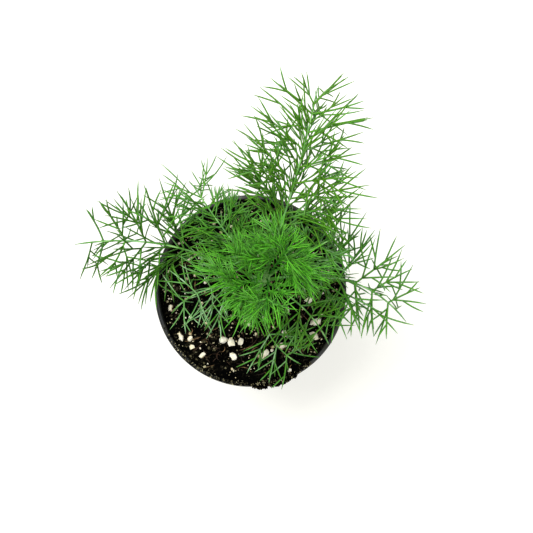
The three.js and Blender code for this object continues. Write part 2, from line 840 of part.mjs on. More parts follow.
/** One closed skin over a leaf: rings of corners, bands between them, and stalks that grow from facets. */
class Skin {
  places = [];
  faces = [];

  ring(point, side, normal, radius, sides) {
    const first = this.places.length / 3;
    for (let i = 0; i < sides; i++) {
      const angle = ((i - 0.5) / sides) * ROUND + (sides === 3 ? ROUND / 12 : 0);
      const corner = point.clone().addScaledVector(side, radius * Math.cos(angle));
      corner.addScaledVector(normal, radius * Math.sin(angle));
      this.places.push(...corner.toArray());
    }
    return Array.from({ length: sides }, (_, i) => first + i);
  }

  apex(loop, point) {
    const tip = this.places.length / 3;
    this.places.push(...point.toArray());
    loop.forEach((corner, i) => this.faces.push(corner, loop[(i + 1) % loop.length], tip));
  }

  /** The band between two loops. Each stalk grows from the facet of its own number. */
  band(low, high, stalks = []) {
    low.forEach((corner, i) => {
      const j = (i + 1) % low.length;
      const facet = [corner, low[j], high[j], high[i]];
      const stalk = stalks[i];
      if (!stalk) {
        this.faces.push(facet[0], facet[1], facet[2], facet[0], facet[2], facet[3]);
      } else if (stalk.stations.length) {
        this.faces.push(facet[0], facet[2], facet[3]);
        this.stalk(facet.slice(0, 3), stalk);
      } else {
        this.apex(facet, stalk.curve.getPoint(1));
      }
    });
  }

  /** A three-sided stalk that grows from three corners of its parent. */
  stalk(root, { curve, side, normal, length, thick, stations }) {
    let loop = root;
    stations.forEach(({ share, stalks }, order) => {
      const radius = thick * mix(1, GROWTH.taper, order / Math.max(1, stations.length - 1));
      const half = GROWTH.station / 2 / length;
      const [low, high] = [share - half, share + half].map((at) =>
        this.ring(curve.getPoint(at), side, normal, radius, 3),
      );
      this.band(loop, low);
      this.band(low, high, stalks);
      loop = high;
    });
    this.apex(loop, curve.getPoint(1));
  }

  rachis(rachis) {
    const { leaf, length, stations } = rachis;
    const ringAt = (share) => {
      const { point, side, normal } = bladeAt(rachis, share);
      return this.ring(point, side, normal, rachisRadius(leaf, share), GROWTH.rachisSides);
    };
    let loop = ringAt(0);
    this.faces.push(loop[0], loop[3], loop[2], loop[0], loop[2], loop[1]);
    for (let i = 1; i < GROWTH.bareSteps; i++) {
      const next = ringAt((leaf.bare * i) / GROWTH.bareSteps);
      this.band(loop, next);
      loop = next;
    }
    for (const { share, stalks } of stations) {
      const half = GROWTH.nodeStation / 2 / length;
      const [low, high] = [ringAt(share - half), ringAt(share + half)];
      this.band(loop, low);
      this.band(low, high, stalks);
      loop = high;
    }
    this.apex(loop, rachis.curve.getPoint(1));
  }

  solid() {
    const geometry = new THREE.BufferGeometry();
    geometry.setAttribute("position", new THREE.Float32BufferAttribute(this.places, 3));
    geometry.setIndex(this.faces);
    return solidFrom(geometry);
  }
}

function leafSolid(rachis, stemSeat) {
  const skin = new Skin();
  skin.rachis(rachis);
  return largestPiece(skin.solid().subtract(stemSeat));
}

// ---------------------------------------------------------------- the plant in its pot

const dill = new THREE.Group();
dill.add(node("pot", potSolid(), 0x14171a, 0.45));
dill.add(node("soil", soilSolid(), 0x2a1d14, 0.95));

const stemSeat = stemSolid(GAP);
for (const rachis of growLeaves()) {
  const { name } = rachis.leaf;
  const color = name.includes("young") ? GREEN.young : GREEN.leaf;
  dill.add(node(name, leafSolid(rachis, stemSeat), color, 0.6));
}
dill.add(node("stem", stemSolid(), GREEN.stem, 0.5));

export default dill;
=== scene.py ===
# %% [markdown]
# # A young dill plant in a nursery pot
#
# This lesson dresses a plain solid model of a potted dill plant. The solids give the place and size
# of the pot, the potting mix, the stem and eleven leaves. Each of them is replaced here by a finer
# piece of the same form, and the mix gets its crumbs, fibres and white granules.
#
# Everything is in metres with +Z up, and the pot stands on z = 0. Sizes are written in millimetres
# and multiplied by MM where a piece is made.

# %% Load the fixed frame
import json
import math
from types import SimpleNamespace

import bpy
import numpy as np
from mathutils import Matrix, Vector
from mathutils.bvhtree import BVHTree

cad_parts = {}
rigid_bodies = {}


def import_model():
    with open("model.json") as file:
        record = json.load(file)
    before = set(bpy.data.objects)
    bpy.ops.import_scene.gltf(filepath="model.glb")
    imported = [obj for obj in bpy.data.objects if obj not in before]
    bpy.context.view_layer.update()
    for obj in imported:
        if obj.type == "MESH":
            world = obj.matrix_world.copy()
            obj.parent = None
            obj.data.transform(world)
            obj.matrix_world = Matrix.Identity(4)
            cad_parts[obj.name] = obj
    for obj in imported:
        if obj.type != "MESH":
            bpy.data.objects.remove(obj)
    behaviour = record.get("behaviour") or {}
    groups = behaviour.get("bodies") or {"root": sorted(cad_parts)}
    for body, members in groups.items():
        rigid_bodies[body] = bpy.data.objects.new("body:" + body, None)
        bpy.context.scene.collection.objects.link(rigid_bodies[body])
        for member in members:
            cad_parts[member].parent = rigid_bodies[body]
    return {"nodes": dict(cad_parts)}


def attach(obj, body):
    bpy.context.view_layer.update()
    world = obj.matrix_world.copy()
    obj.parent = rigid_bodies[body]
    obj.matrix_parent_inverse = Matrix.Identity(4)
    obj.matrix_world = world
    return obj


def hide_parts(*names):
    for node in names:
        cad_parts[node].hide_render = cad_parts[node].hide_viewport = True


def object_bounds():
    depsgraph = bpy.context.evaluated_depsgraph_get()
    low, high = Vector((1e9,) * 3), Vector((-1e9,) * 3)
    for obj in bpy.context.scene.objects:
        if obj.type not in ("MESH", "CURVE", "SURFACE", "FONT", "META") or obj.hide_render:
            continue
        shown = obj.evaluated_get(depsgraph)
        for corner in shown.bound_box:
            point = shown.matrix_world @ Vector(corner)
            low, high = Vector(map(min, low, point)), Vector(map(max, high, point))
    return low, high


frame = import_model()
cad_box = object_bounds()
MM = 0.001
print("solids:", sorted(frame["nodes"]))


# %% [markdown]
# ## Small helpers
#
# An operator acts on all that is selected, so each step first takes one object alone. Colours are
# written as sRGB hex values, as in a paint program, and Blender's shaders want them linear. One
# helper adds any shader node with its settings, its socket values and its links.


# %% Helpers for objects
def take_alone(piece):
    """Select one object and nothing else."""
    bpy.ops.object.select_all(action="DESELECT")
    piece.select_set(True)
    bpy.context.view_layer.objects.active = piece


def start_edit(piece):
    """Take one object into edit mode with its whole mesh selected."""
    take_alone(piece)
    bpy.ops.object.mode_set(mode="EDIT")
    bpy.ops.mesh.select_all(action="SELECT")


def end_edit():
    """Turn every face outwards and leave edit mode."""
    bpy.ops.mesh.select_all(action="SELECT")
    bpy.ops.mesh.normals_make_consistent(inside=False)
    bpy.ops.object.mode_set(mode="OBJECT")


def smooth(piece, degrees):
    """Shade a piece smooth, and leave an edge where faces meet at more than an angle."""
    take_alone(piece)
    bpy.ops.object.shade_smooth_by_angle(angle=math.radians(degrees))


def hand_in(piece, name, slot, *nodes):
    """Name a finished piece, let it ride with the plant and hide the solids that it stands for. slot is
    not used.
    """
    piece.name = piece.data.name = name
    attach(piece, "root")
    if nodes:
        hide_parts(*nodes)
    triangles = sum(len(face.vertices) - 2 for face in piece.data.polygons)
    corners = np.array([v.co for v in piece.data.vertices]) / MM
    low, high = corners.min(0).round(1), corners.max(0).round(1)
    print(f"{name}: {triangles} triangles, from {low} to {high} mm")


# %% Helpers for materials
def linear(hex_colour):
    """An sRGB hex colour as the linear colour that a shader socket takes."""
    parts = [int(hex_colour[i : i + 2], 16) / 255 for i in (1, 3, 5)]
    return (*[c / 12.92 if c <= 0.04045 else ((c + 0.055) / 1.055) ** 2.4 for c in parts], 1.0)


def link_in(tree, node, links):
    """Link a source to each socket named. A node as a source stands for its first output in use."""
    for socket, source in links.items():
        if isinstance(source, bpy.types.Node):
            source = next(output for output in source.outputs if output.enabled)
        tree.links.new(source, node.inputs[socket])


def add_node(tree, kind, values=None, links=None, stops=None, **settings):
    """Add a shader node: its settings, its sockets' values, its links in, and a ramp's stops."""
    made = tree.nodes.new("ShaderNode" + kind)
    for key, value in settings.items():
        setattr(made, key, value)
    for socket, value in (values or {}).items():
        made.inputs[socket].default_value = value
    link_in(tree, made, links or {})
    for i, (place, colour) in enumerate(stops or []):
        ramp = made.color_ramp.elements
        element = ramp[i] if i < 2 else ramp.new(place)
        element.position, element.color = place, linear(colour)
    return made


def new_material(name, **surface):
    """A material, its tree, its shader with the values given, and the place that patterns follow."""
    material = bpy.data.materials.new(name)
    material.use_nodes = True
    tree = material.node_tree
    shader = tree.nodes["Principled BSDF"]
    for socket, value in surface.items():
        shader.inputs[socket.replace("_", " ")].default_value = value
    return material, tree, shader, add_node(tree, "TexCoord").outputs["Object"]


def wavelength(size):
    """The scale of a noise texture whose lumps are about this many millimetres across."""
    return 1 / (size * MM)


def finish_skin(tree, shader, position, colour, size, detail, strength, depth):
    """Give a shader its colour, and a fine grain whose size and depth are in mm."""
    grain = add_node(
        tree, "TexNoise", {"Scale": wavelength(size), "Detail": detail}, {"Vector": position})
    bump = add_node(tree, "Bump", {"Strength": strength, "Distance": depth * MM}, {"Height": grain})
    link_in(tree, shader, {"Base Color": colour, "Normal": bump})


# %% [markdown]
# ## The camera and the light
#
# The plant is seen from straight above, some 40 cm over the tallest leaf and a little to the back
# right of the pot's middle. A real studio would set it on a light table, a sheet of opal acrylic
# that is lit from below, so that no shadow greys the white. One large soft box hangs at the back
# left, a weaker one fills from the front right, and a pale world lights the rest. The plain view
# transform keeps the greens as vivid as they are set.

# %% The camera
CAMERA_PLACE = (8.5 * MM, 13 * MM, 590 * MM)
FIELD = 283 * MM  # width of the view at the height of the pot's rim
RIM_HEIGHT = 90 * MM
SENSOR = 36  # mm

bpy.ops.object.camera_add(location=CAMERA_PLACE, rotation=(0, 0, 0))
camera = bpy.context.object
camera.data.sensor_width = SENSOR
camera.data.lens = SENSOR * (CAMERA_PLACE[2] - RIM_HEIGHT) / FIELD
bpy.context.scene.camera = camera
bpy.context.scene.view_settings.view_transform = "Standard"
print("lens:", round(camera.data.lens, 1), "mm")

# %% The light table
TABLE_SIZE = 4  # metres
bpy.ops.mesh.primitive_plane_add(size=TABLE_SIZE, location=(0, 0, 0))
floor = bpy.context.object
floor.name = "light_table"

opal, tree, shader, position = new_material(
    "opal_acrylic", Roughness=0.85, Specular_IOR_Level=0.1, Emission_Color=linear("#fffdf6"),
    Emission_Strength=0.5)
cloud = add_node(tree, "TexNoise", {"Scale": wavelength(120), "Detail": 2}, {"Vector": position})
tone = add_node(tree, "ValToRGB", links={"Fac": cloud}, stops=[(0.3, "#c9cac2"), (0.7, "#cecdc8")])
link_in(tree, shader, {"Base Color": tone})
floor.data.materials.append(opal)

# %% The lamps and the world
LIGHTS = [
    # name, place in metres, side of the square in metres, power in watts
    ("key_softbox", (-0.32, 0.4, 1.0), 0.6, 12.5),
    ("fill_softbox", (0.5, -0.5, 0.9), 0.8, 4.5),
]
for name, place, side, power in LIGHTS:
    bpy.ops.object.light_add(type="AREA", location=place)
    lamp = bpy.context.object
    lamp.name = name
    lamp.data.size = side
    lamp.data.energy = power
    lamp.rotation_euler = Vector(place).to_track_quat("Z", "Y").to_euler()

world = bpy.data.worlds.new("pale_room")
world.use_nodes = True
sky = world.node_tree.nodes["Background"].inputs
sky["Color"].default_value, sky["Strength"].default_value = linear("#f2f5f7"), 0.5
bpy.context.scene.world = world
print("lamps:", [name for name, *_ in LIGHTS])

# %% [markdown]
# ## The pot
#
# A nursery pot is one thin shell of black plastic. It could be spun from its section. Here it is
# grown as a potter would raise it: a disc is extruded ring by ring, up the outside, over the lip,
# down the inside and flat over the floor. Each ring is one extrusion that is then scaled to its
# radius, so the list reads like the section's own drawing, and rings that stand close together
# round the moulded edges. Drain holes are cut with a Boolean.

# %% The pot's section
POT_FACETS = 128
POT_HEIGHT, RIM_RADIUS, BASE_RADIUS = 90, 51, 36.5
WALL, LIP_WIDTH = 1.2, 1.1
BAND_FOOT = POT_HEIGHT - 12  # the band under the lip starts here
BAND_RADIUS = RIM_RADIUS - LIP_WIDTH
FOOT_HEIGHT, POT_FLOOR = 3, 1.8
FIRST_RING = 34.3  # radius of the disc that the pot is raised from
POT_INSIDE = BAND_RADIUS - WALL  # inside radius at the rim


def wall_radius(z):
    """Outside radius of the pot's tapered wall at a height, in mm."""
    share = (z - FOOT_HEIGHT) / (BAND_FOOT - FOOT_HEIGHT)
    return BASE_RADIUS + (POT_INSIDE - BASE_RADIUS) * min(1, max(0, share))


SECTION = [  # radius and height of each ring after the first, from the foot's edge
    (35.3, 0.9), (35.3, 2.5), (BASE_RADIUS, FOOT_HEIGHT + 0.3), (wall_radius(76.6), 76.6),
    (BAND_RADIUS - 0.15, 78.4), (BAND_RADIUS, 79.2), (BAND_RADIUS, 86.6), (RIM_RADIUS - 0.2, 87.1),
    (RIM_RADIUS, 87.5), (RIM_RADIUS, 89.3), (RIM_RADIUS - 0.25, 89.8), (RIM_RADIUS - 0.7, 90.0),
    (BAND_RADIUS - 0.75, 90.0), (POT_INSIDE, 89.5), (POT_INSIDE, 78.4),
    (wall_radius(76.4) - WALL, 76.4), (wall_radius(4) - WALL, 4.0),
    (wall_radius(2) - WALL - 1.6, POT_FLOOR),
]

# %% Raise the pot from a disc
bpy.ops.object.select_all(action="DESELECT")
bpy.ops.mesh.primitive_circle_add(vertices=POT_FACETS, radius=FIRST_RING * MM, fill_type="NGON")
pot = bpy.context.object
start_edit(pot)
radius, height = FIRST_RING, 0
for ring_radius, ring_height in SECTION:
    bpy.ops.mesh.extrude_region_move(
        TRANSFORM_OT_translate={"value": (0, 0, (ring_height - height) * MM)})
    scale = ring_radius / radius
    bpy.ops.transform.resize(value=(scale, scale, 1), center_override=(0, 0, ring_height * MM))
    radius, height = ring_radius, ring_height
end_edit()
print("pot rings:", len(SECTION) + 1, "height:", round(pot.dimensions.z / MM, 2), "mm")

# %% Cut the drain holes
DRAIN_HOLES, DRAIN_RADIUS, DRAIN_RING = 6, 4.2, 24.5
DRILL_FACETS, DRILL_LENGTH = 32, 8
for i in range(DRAIN_HOLES):
    angle = 2 * math.pi * i / DRAIN_HOLES
    place = (DRAIN_RING * MM * math.cos(angle), DRAIN_RING * MM * math.sin(angle), 0)
    bpy.ops.object.select_all(action="DESELECT")
    bpy.ops.mesh.primitive_cylinder_add(
        vertices=DRILL_FACETS, radius=DRAIN_RADIUS * MM, depth=DRILL_LENGTH * MM, location=place)
    drill = bpy.context.object
    take_alone(pot)
    cut = pot.modifiers.new("drain", "BOOLEAN")
    cut.operation, cut.object, cut.solver = "DIFFERENCE", drill, "EXACT"
    bpy.ops.object.modifier_apply(modifier=cut.name)
    bpy.data.objects.remove(drill)
smooth(pot, 32)
print("pot faces after the cuts:", len(pot.data.polygons))

# %% [markdown]
# The plastic is polypropylene, injection moulded in black. Its skin is smooth but not polished, so
# it shows a broad soft sheen. A fine grain from the mould breaks that sheen up, and watering has
# left a dusty film of mix near the lip, both inside and out.

# %% Moulded polypropylene
plastic, tree, shader, position = new_material(
    "moulded_polypropylene_black", IOR=1.49, Specular_IOR_Level=0.38)
height_of = add_node(tree, "SeparateXYZ", links={"Vector": position})
near_lip = add_node(
    tree, "MapRange", {"From Min": 66 * MM, "From Max": 92 * MM, "To Min": 0.12, "To Max": 0.62},
    {"Value": height_of.outputs["Z"]})
film = add_node(
    tree, "TexNoise", {"Scale": wavelength(9), "Detail": 6, "Roughness": 0.68}, {"Vector": position})
dust = add_node(tree, "Math", links={0: film, 1: near_lip}, operation="MULTIPLY")
dusty = add_node(tree, "MapRange", {"From Min": 0.24, "From Max": 0.42}, {"Value": dust})
colour = add_node(tree, "ValToRGB", links={"Fac": dusty}, stops=[(0.0, "#0f1213"), (1.0, "#302e1f")])
gloss = add_node(tree, "MapRange", {"To Min": 0.36, "To Max": 0.74}, {"Value": dusty})
link_in(tree, shader, {"Roughness": gloss})
finish_skin(tree, shader, position, colour, size=0.7, detail=3, strength=0.16, depth=0.05)
pot.data.materials.append(plastic)
hand_in(pot, "nursery_pot", "pot_plastic", "pot")

# %% [markdown]
# ## The potting mix
#
# The pot is filled with fine bark and peat. Its surface dips to the back, rises to the front and
# spills over the lip at one place. The height at any point is a formula: a shallow bowl from the
# middle to the wall, plus five long waves for its lumps. A square grid is bent round into a disc
# and lifted to that height. Two Displace modifiers roughen it, one for clods and one for crumbs,
# and its edge is then extruded down the wall to the foot.

# %% The values of the mix
MIX = SimpleNamespace(
    middle=85.5, edge=84.6, tilt=3.4, high_side=-75, lip_gap=0.4, spill=4.6, heap=1.7, gap=0.3,
    spill_turns=(9, 21), slope_turns=(28, 52),  # degrees from the high side
    bowl=RIM_RADIUS - 2, bowl_rise=0.5, calm=0.65, calm_from=0.8)  # the lumps calm down near the wall
MIX_RADIUS = POT_INSIDE - MIX.gap
LUMPS = [  # length and height in mm, direction and start in radians
    (37, 0.75, 0.4, 1.1), (23, 0.6, 1.9, 4.0), (15, 0.45, 2.9, 0.3), (11, 0.4, 0.9, 2.2),
    (8.5, 0.35, 2.3, 5.1),
]
RAGGED = [(29, 0.3, 0.6), (53, 0.28, 2.2), (97, 0.22, 0.4)]  # waves in a turn, depth in mm, start
MOST_RAGGED = 0.9  # mm kept free at the edge of the spill for those waves
print("the mix reaches", round(MIX_RADIUS, 1), "mm out, and up to", MIX.spill, "mm more")


# %% The high side and the spill
def ease(value, low, high):
    """0 at low, 1 at high, and smooth between them."""
    share = min(1, max(0, (value - low) / (high - low)))
    return share * share * (3 - 2 * share)


def turn_from_high_side(angle):
    """Turn from the mix's high side, in degrees from 0 to 180."""
    return abs((math.degrees(angle) - MIX.high_side + 180) % 360 - 180)


def spill_at(angle):
    """How much of the spill over the lip there is at an angle, from 0 to 1."""
    return 1 - ease(turn_from_high_side(angle), *MIX.spill_turns)


def edge_height(angle):
    """Height of the mix where it meets the wall."""
    turn = turn_from_high_side(angle)
    sloped = MIX.edge + MIX.tilt * math.cos(math.radians(turn))
    level = POT_HEIGHT + MIX.lip_gap
    return level + (sloped - level) * ease(turn, *MIX.slope_turns)


# %% The height of the mix
def mix_height(x, y):
    """Height of the mix's surface over a place, all in mm."""
    angle = math.atan2(y, x)
    outward = min(1, math.hypot(x, y) / MIX.bowl)
    rim = edge_height(angle) + MIX.bowl_rise + MIX.heap * spill_at(angle)
    calm = 1 - MIX.calm * ease(outward, MIX.calm_from, 1)
    waves = sum(
        high * math.sin((x * math.cos(way) + y * math.sin(way)) / length * 2 * math.pi + start)
        for length, high, way, start in LUMPS)
    return MIX.middle + (rim - MIX.middle) * outward**2 + waves * calm


def mix_reach(angle):
    """How far out the mix comes at an angle: to the wall, or over the lip in a ragged edge."""
    ragged = sum(deep * math.sin(times * angle + start) for times, deep, start in RAGGED)
    return MIX_RADIUS + (MIX.spill - MOST_RAGGED + ragged) * spill_at(angle)


# %% Bend a grid into a disc and raise it
MIX_CELLS = 210
FREE_EDGE = 0.35  # mm between the grid and the mix's full reach, closed by the first ring below
STILL_EDGE = (0.3, 1.6)  # mm from that reach over which the roughness starts
bpy.ops.object.select_all(action="DESELECT")
bpy.ops.mesh.primitive_grid_add(x_subdivisions=MIX_CELLS, y_subdivisions=MIX_CELLS, size=2)
soil = bpy.context.object
for corner in soil.data.vertices:
    u, v = corner.co.x, corner.co.y
    x, y = u * math.sqrt(1 - v * v / 2), v * math.sqrt(1 - u * u / 2)
    reach = mix_reach(math.atan2(y, x)) - FREE_EDGE
    x, y = x * reach, y * reach
    corner.co = (x * MM, y * MM, mix_height(x, y) * MM)
loose = soil.vertex_groups.new(name="loose")
for corner in soil.data.vertices:
    x, y = corner.co.x / MM, corner.co.y / MM
    to_edge = mix_reach(math.atan2(y, x)) - math.hypot(x, y)
    loose.add([corner.index], ease(to_edge, *STILL_EDGE), "REPLACE")
print(len(soil.data.polygons), "cells of about", round(2 * RIM_RADIUS / MIX_CELLS, 2), "mm")

# %% Roughen the mix with clods and crumbs
ROUGHNESS = [("clods", 4.5, 2.6), ("crumbs", 1.3, 2.0)]  # width and height in mm
take_alone(soil)
for name, size, strength in ROUGHNESS:
    texture = bpy.data.textures.new(name, "CLOUDS")
    texture.noise_scale, texture.noise_depth = size * MM, 3
    displace = soil.modifiers.new(name, "DISPLACE")
    displace.texture, displace.texture_coords, displace.vertex_group = texture, "LOCAL", "loose"
    displace.strength, displace.mid_level = strength * MM, 0.55
    bpy.ops.object.modifier_apply(modifier=name)
print("mix height after roughening:", round(soil.dimensions.z / MM, 2), "mm")

# %% Close the mix down its wall to the foot
FOOT_INSET = 2.4  # mm by which the mix draws in at the pot's rounded foot
WALL_RINGS = [  # how each ring of the wall is placed: radius and height at an angle
    lambda angle: (mix_reach(angle), edge_height(angle) + 0.1),
    lambda angle: (MIX_RADIUS, edge_height(angle)),
    lambda angle: (MIX_RADIUS, BAND_FOOT + 1),
    lambda angle: (wall_radius(BAND_FOOT - 2) - WALL - MIX.gap, BAND_FOOT - 2),
    lambda angle: (wall_radius(POT_FLOOR) - WALL - MIX.gap - FOOT_INSET, POT_FLOOR + MIX.gap),
]
bpy.ops.object.mode_set(mode="EDIT")
bpy.ops.mesh.select_mode(type="EDGE")
bpy.ops.mesh.select_all(action="DESELECT")
bpy.ops.mesh.select_non_manifold()
for ring in WALL_RINGS:
    bpy.ops.mesh.extrude_region_move()
    bpy.ops.object.mode_set(mode="OBJECT")
    for corner in (v for v in soil.data.vertices if v.select):
        angle = math.atan2(corner.co.y, corner.co.x)
        radius, height = ring(angle)
        corner.co = (radius * MM * math.cos(angle), radius * MM * math.sin(angle), height * MM)
    bpy.ops.object.mode_set(mode="EDIT")
bpy.ops.mesh.edge_face_add()
end_edit()
soil.vertex_groups.clear()
smooth(soil, 50)
mix_surface = BVHTree.FromPolygons(
    [v.co for v in soil.data.vertices], [p.vertices for p in soil.data.polygons])


def on_mix(x, y):
    """Height of the finished mix under a place, or of the lip where there is no mix, in mm."""
    over_all = Vector((x * MM, y * MM, 0.2))
    hit = mix_surface.ray_cast(over_all, Vector((0, 0, -1)))[0]
    under = hit.z / MM if hit else 0
    return max(POT_HEIGHT, under) if math.hypot(x, y) > POT_INSIDE else under


print("mix over its middle:", round(on_mix(0, 0), 1), "mm")

# %% [markdown]
# Wet peat is nearly black, because water fills the pores that would scatter light. Single crumbs
# dry out and turn brown or tan. So the colour comes from noise at two sizes: patches of dampness
# some 12 mm wide, and crumbs about 1.2 mm wide, a few of which are light. The bump is coarser than
# real dust, or it would not show at all.

# %% Damp peat and bark
PEAT_TONES = [  # from wet to dry. The ramp's own two stops are its ends, so they come first
    (0.44, "#010101"), (0.95, "#b3ab86"), (0.56, "#070604"), (0.66, "#1e1b13"), (0.79, "#565139")]


def peat(name, tone_of=None):
    """Peat whose crumbs go from wet black to dry tan. tone_of is the attribute that picks the crumb."""
    material, tree, shader, position = new_material(name, Roughness=0.92, Specular_IOR_Level=0.02)
    damp = add_node(tree, "TexNoise", {"Scale": wavelength(12), "Detail": 3}, {"Vector": position})
    shift = add_node(
        tree, "MapRange", {"From Min": 0.3, "From Max": 0.7, "To Min": -0.09, "To Max": 0.09},
        {"Value": damp})
    if tone_of:
        crumb = add_node(tree, "Attribute", attribute_name=tone_of).outputs["Fac"]
    else:
        crumb = add_node(
            tree, "TexNoise", {"Scale": wavelength(1.2), "Detail": 4, "Roughness": 0.7},
            {"Vector": position})
    dryness = add_node(tree, "Math", links={0: crumb, 1: shift}, operation="ADD")
    colour = add_node(tree, "ValToRGB", links={"Fac": dryness}, stops=PEAT_TONES)
    finish_skin(tree, shader, position, colour, size=0.5, detail=4, strength=0.8, depth=0.3)
    return material


soil.data.materials.append(peat("damp_peat_and_bark"))
hand_in(soil, "potting_mix", "potting_mix", "soil")

# %% [markdown]
# ## Crumbs, granules and fibres
#
# Loose bits lie on the mix by the thousand. Modelling each one would take days, and a particle
# system would not be kept in the finished mesh. So a few shapes are modelled once, as small rocks:
# an icosphere whose corners are pushed about at random, then flattened. Each is copied to its
# seeded places, turned and scaled, and every copy's corners are its own.

# %% Model a lump once
SMALL_PUSH = 0.025  # of a lump's width, once it has its finer corners


def model_lump(name, fineness, push, size=(1, 1, 0.8), seed=0, rounding=0):
    """A lumpy stone of about unit width, as arrays of corners and faces."""
    bpy.ops.object.select_all(action="DESELECT")
    bpy.ops.mesh.primitive_ico_sphere_add(subdivisions=fineness, radius=0.5)
    lump = bpy.context.object
    start_edit(lump)
    bpy.ops.transform.vertex_random(offset=push, uniform=0.2, seed=seed)
    if rounding:
        bpy.ops.mesh.subdivide(number_cuts=1, smoothness=rounding)
        bpy.ops.transform.vertex_random(offset=SMALL_PUSH, uniform=0.3, seed=seed)
    bpy.ops.transform.resize(value=size)
    bpy.ops.object.mode_set(mode="OBJECT")
    corners = np.array([v.co for v in lump.data.vertices])
    faces = np.array([p.vertices for p in lump.data.polygons])
    bpy.data.objects.remove(lump)
    print(name, "has", len(faces), "faces")
    return corners, faces


def turned(corners, angles):
    """Corners turned about Z, then X, then Z again."""
    for axis, angle in zip((2, 0, 2), angles):
        i, j = [k for k in range(3) if k != axis]
        c, s = math.cos(angle), math.sin(angle)
        a, b = corners[:, i] * c - corners[:, j] * s, corners[:, i] * s + corners[:, j] * c
        corners = corners.copy()
        corners[:, i], corners[:, j] = a, b
    return corners


# %% Copy lumps to their places
def lay_out(name, patterns, places, material):
    """One piece from many copies. A place is x, y, share sunk, size, angles and tone."""
    all_corners, all_faces, tones = [], [], []
    count = 0
    for i, (x, y, sunk, size, angles, tone) in enumerate(places):
        corners, faces = patterns[i % len(patterns)]
        corners = turned(corners * size, angles)
        all_corners.append((corners + (x, y, on_mix(x, y) - sunk * size)) * MM)
        all_faces.append(faces + count)
        tones.append(np.full(len(corners), tone))
        count += len(corners)
    mesh = bpy.data.meshes.new(name)
    mesh.from_pydata(np.concatenate(all_corners), [], np.concatenate(all_faces).tolist())
    mesh.attributes.new("tone", "FLOAT", "POINT").data.foreach_set("value", np.concatenate(tones))
    piece = bpy.data.objects.new(name, mesh)
    bpy.context.scene.collection.objects.link(piece)
    mesh.materials.append(material)
    smooth(piece, 40)
    return piece


# %% How the crumbs lie
CRUMBS, LIP_CRUMBS, SPILL_CRUMBS = 4800, 1500, 260
CRUMB_SIZES, LIP_SIZES, SPILL_SIZES = (0.5, 2.4, 3), (0.5, 1.2, 2), (0.5, 1.5, 2)
CRUMB_SHAPES, CRUMB_SUNK, CRUMB_CLEAR = 5, 0.12, 0.7  # the last two over a crumb's width
LIP_TURNS = (-162, -50)  # degrees: the stretch of the lip that crumbs lie on, most near its end
LIP_REACH = RIM_RADIUS - 0.6
SPILL_TURN, SPILL_EDGE = 19, (-0.9, 0.15)  # degrees from the high side, and mm from the spill's edge
WALL_DRYNESS, DRY_FROM, LIP_DRYNESS, SPILL_DRYNESS = 0.6, 0.8, 0.0, -0.8
TONES = SimpleNamespace(least=0.3, more=0.66, most=0.98, dry=0.12, wetness=2.6)
random = np.random.default_rng(seed=7)
crumb_shapes = [
    model_lump(f"crumb {i}", 1, 0.22, (1, 0.8, 0.6), seed=i + 1) for i in range(CRUMB_SHAPES)]
crumb_shapes.append(model_lump("clod", 2, 0.12, (1, 0.85, 0.7), seed=9))
print(len(crumb_shapes), "shapes of crumb")


# %% Random sizes and turns
def mostly_small(smallest, largest, power):
    """A random size in mm: the higher the power, the fewer are large."""
    return smallest + (largest - smallest) * random.random() ** power


def any_way():
    """Three random angles in radians."""
    return random.uniform(0, 6.28, 3)


def crumb_at(angle, out, size, dryness):
    """One crumb's place. Dry crumbs are lighter. out is how far from the pot's middle it lies."""
    chance = random.random() ** (TONES.wetness - dryness)
    tone = min(TONES.most, TONES.least + TONES.dry * dryness + TONES.more * chance)
    place = out * math.cos(angle), out * math.sin(angle)
    return *place, CRUMB_SUNK, size, any_way(), tone


# %% Lay the crumbs
crumb_places = []
for _ in range(CRUMBS):
    angle = random.uniform(-math.pi, math.pi)
    rim, size = mix_reach(angle), mostly_small(*CRUMB_SIZES)
    out = min(rim * math.sqrt(random.random()), rim - size / 2)
    crumb_places.append(crumb_at(angle, out, size, WALL_DRYNESS * ease(out / rim, DRY_FROM, 1)))
for _ in range(LIP_CRUMBS):  # watering has washed crumbs onto the lip, up to the spill
    angle = math.radians(LIP_TURNS[0] + (LIP_TURNS[1] - LIP_TURNS[0]) * math.sqrt(random.random()))
    out = random.uniform(POT_INSIDE, LIP_REACH)
    crumb_places.append(crumb_at(angle, out, mostly_small(*LIP_SIZES), LIP_DRYNESS))
for _ in range(SPILL_CRUMBS):  # and the edge of the spill is crumbling
    angle = math.radians(MIX.high_side + random.uniform(-SPILL_TURN, SPILL_TURN))
    out = mix_reach(angle) + random.uniform(*SPILL_EDGE)
    crumb_places.append(crumb_at(angle, out, mostly_small(*SPILL_SIZES), SPILL_DRYNESS))
front = cad_box[0][1] / MM  # no crumb may reach further to the front than the solids do
crumb_places = [place for place in crumb_places if place[1] - CRUMB_CLEAR * place[3] > front]
crumbs = lay_out("peat_crumbs", crumb_shapes, crumb_places, peat("peat_crumb", "tone"))
hand_in(crumbs, "peat_crumbs", "potting_mix")

# %% [markdown]
# The white granules are perlite, a volcanic glass that is popped in a furnace like corn. It is
# brittle foam: chalky white, full of pits under a millimetre wide, and stained cream and brown
# where it lies wet. The large ones lie where the eye meets them, and small ones are strewn between.

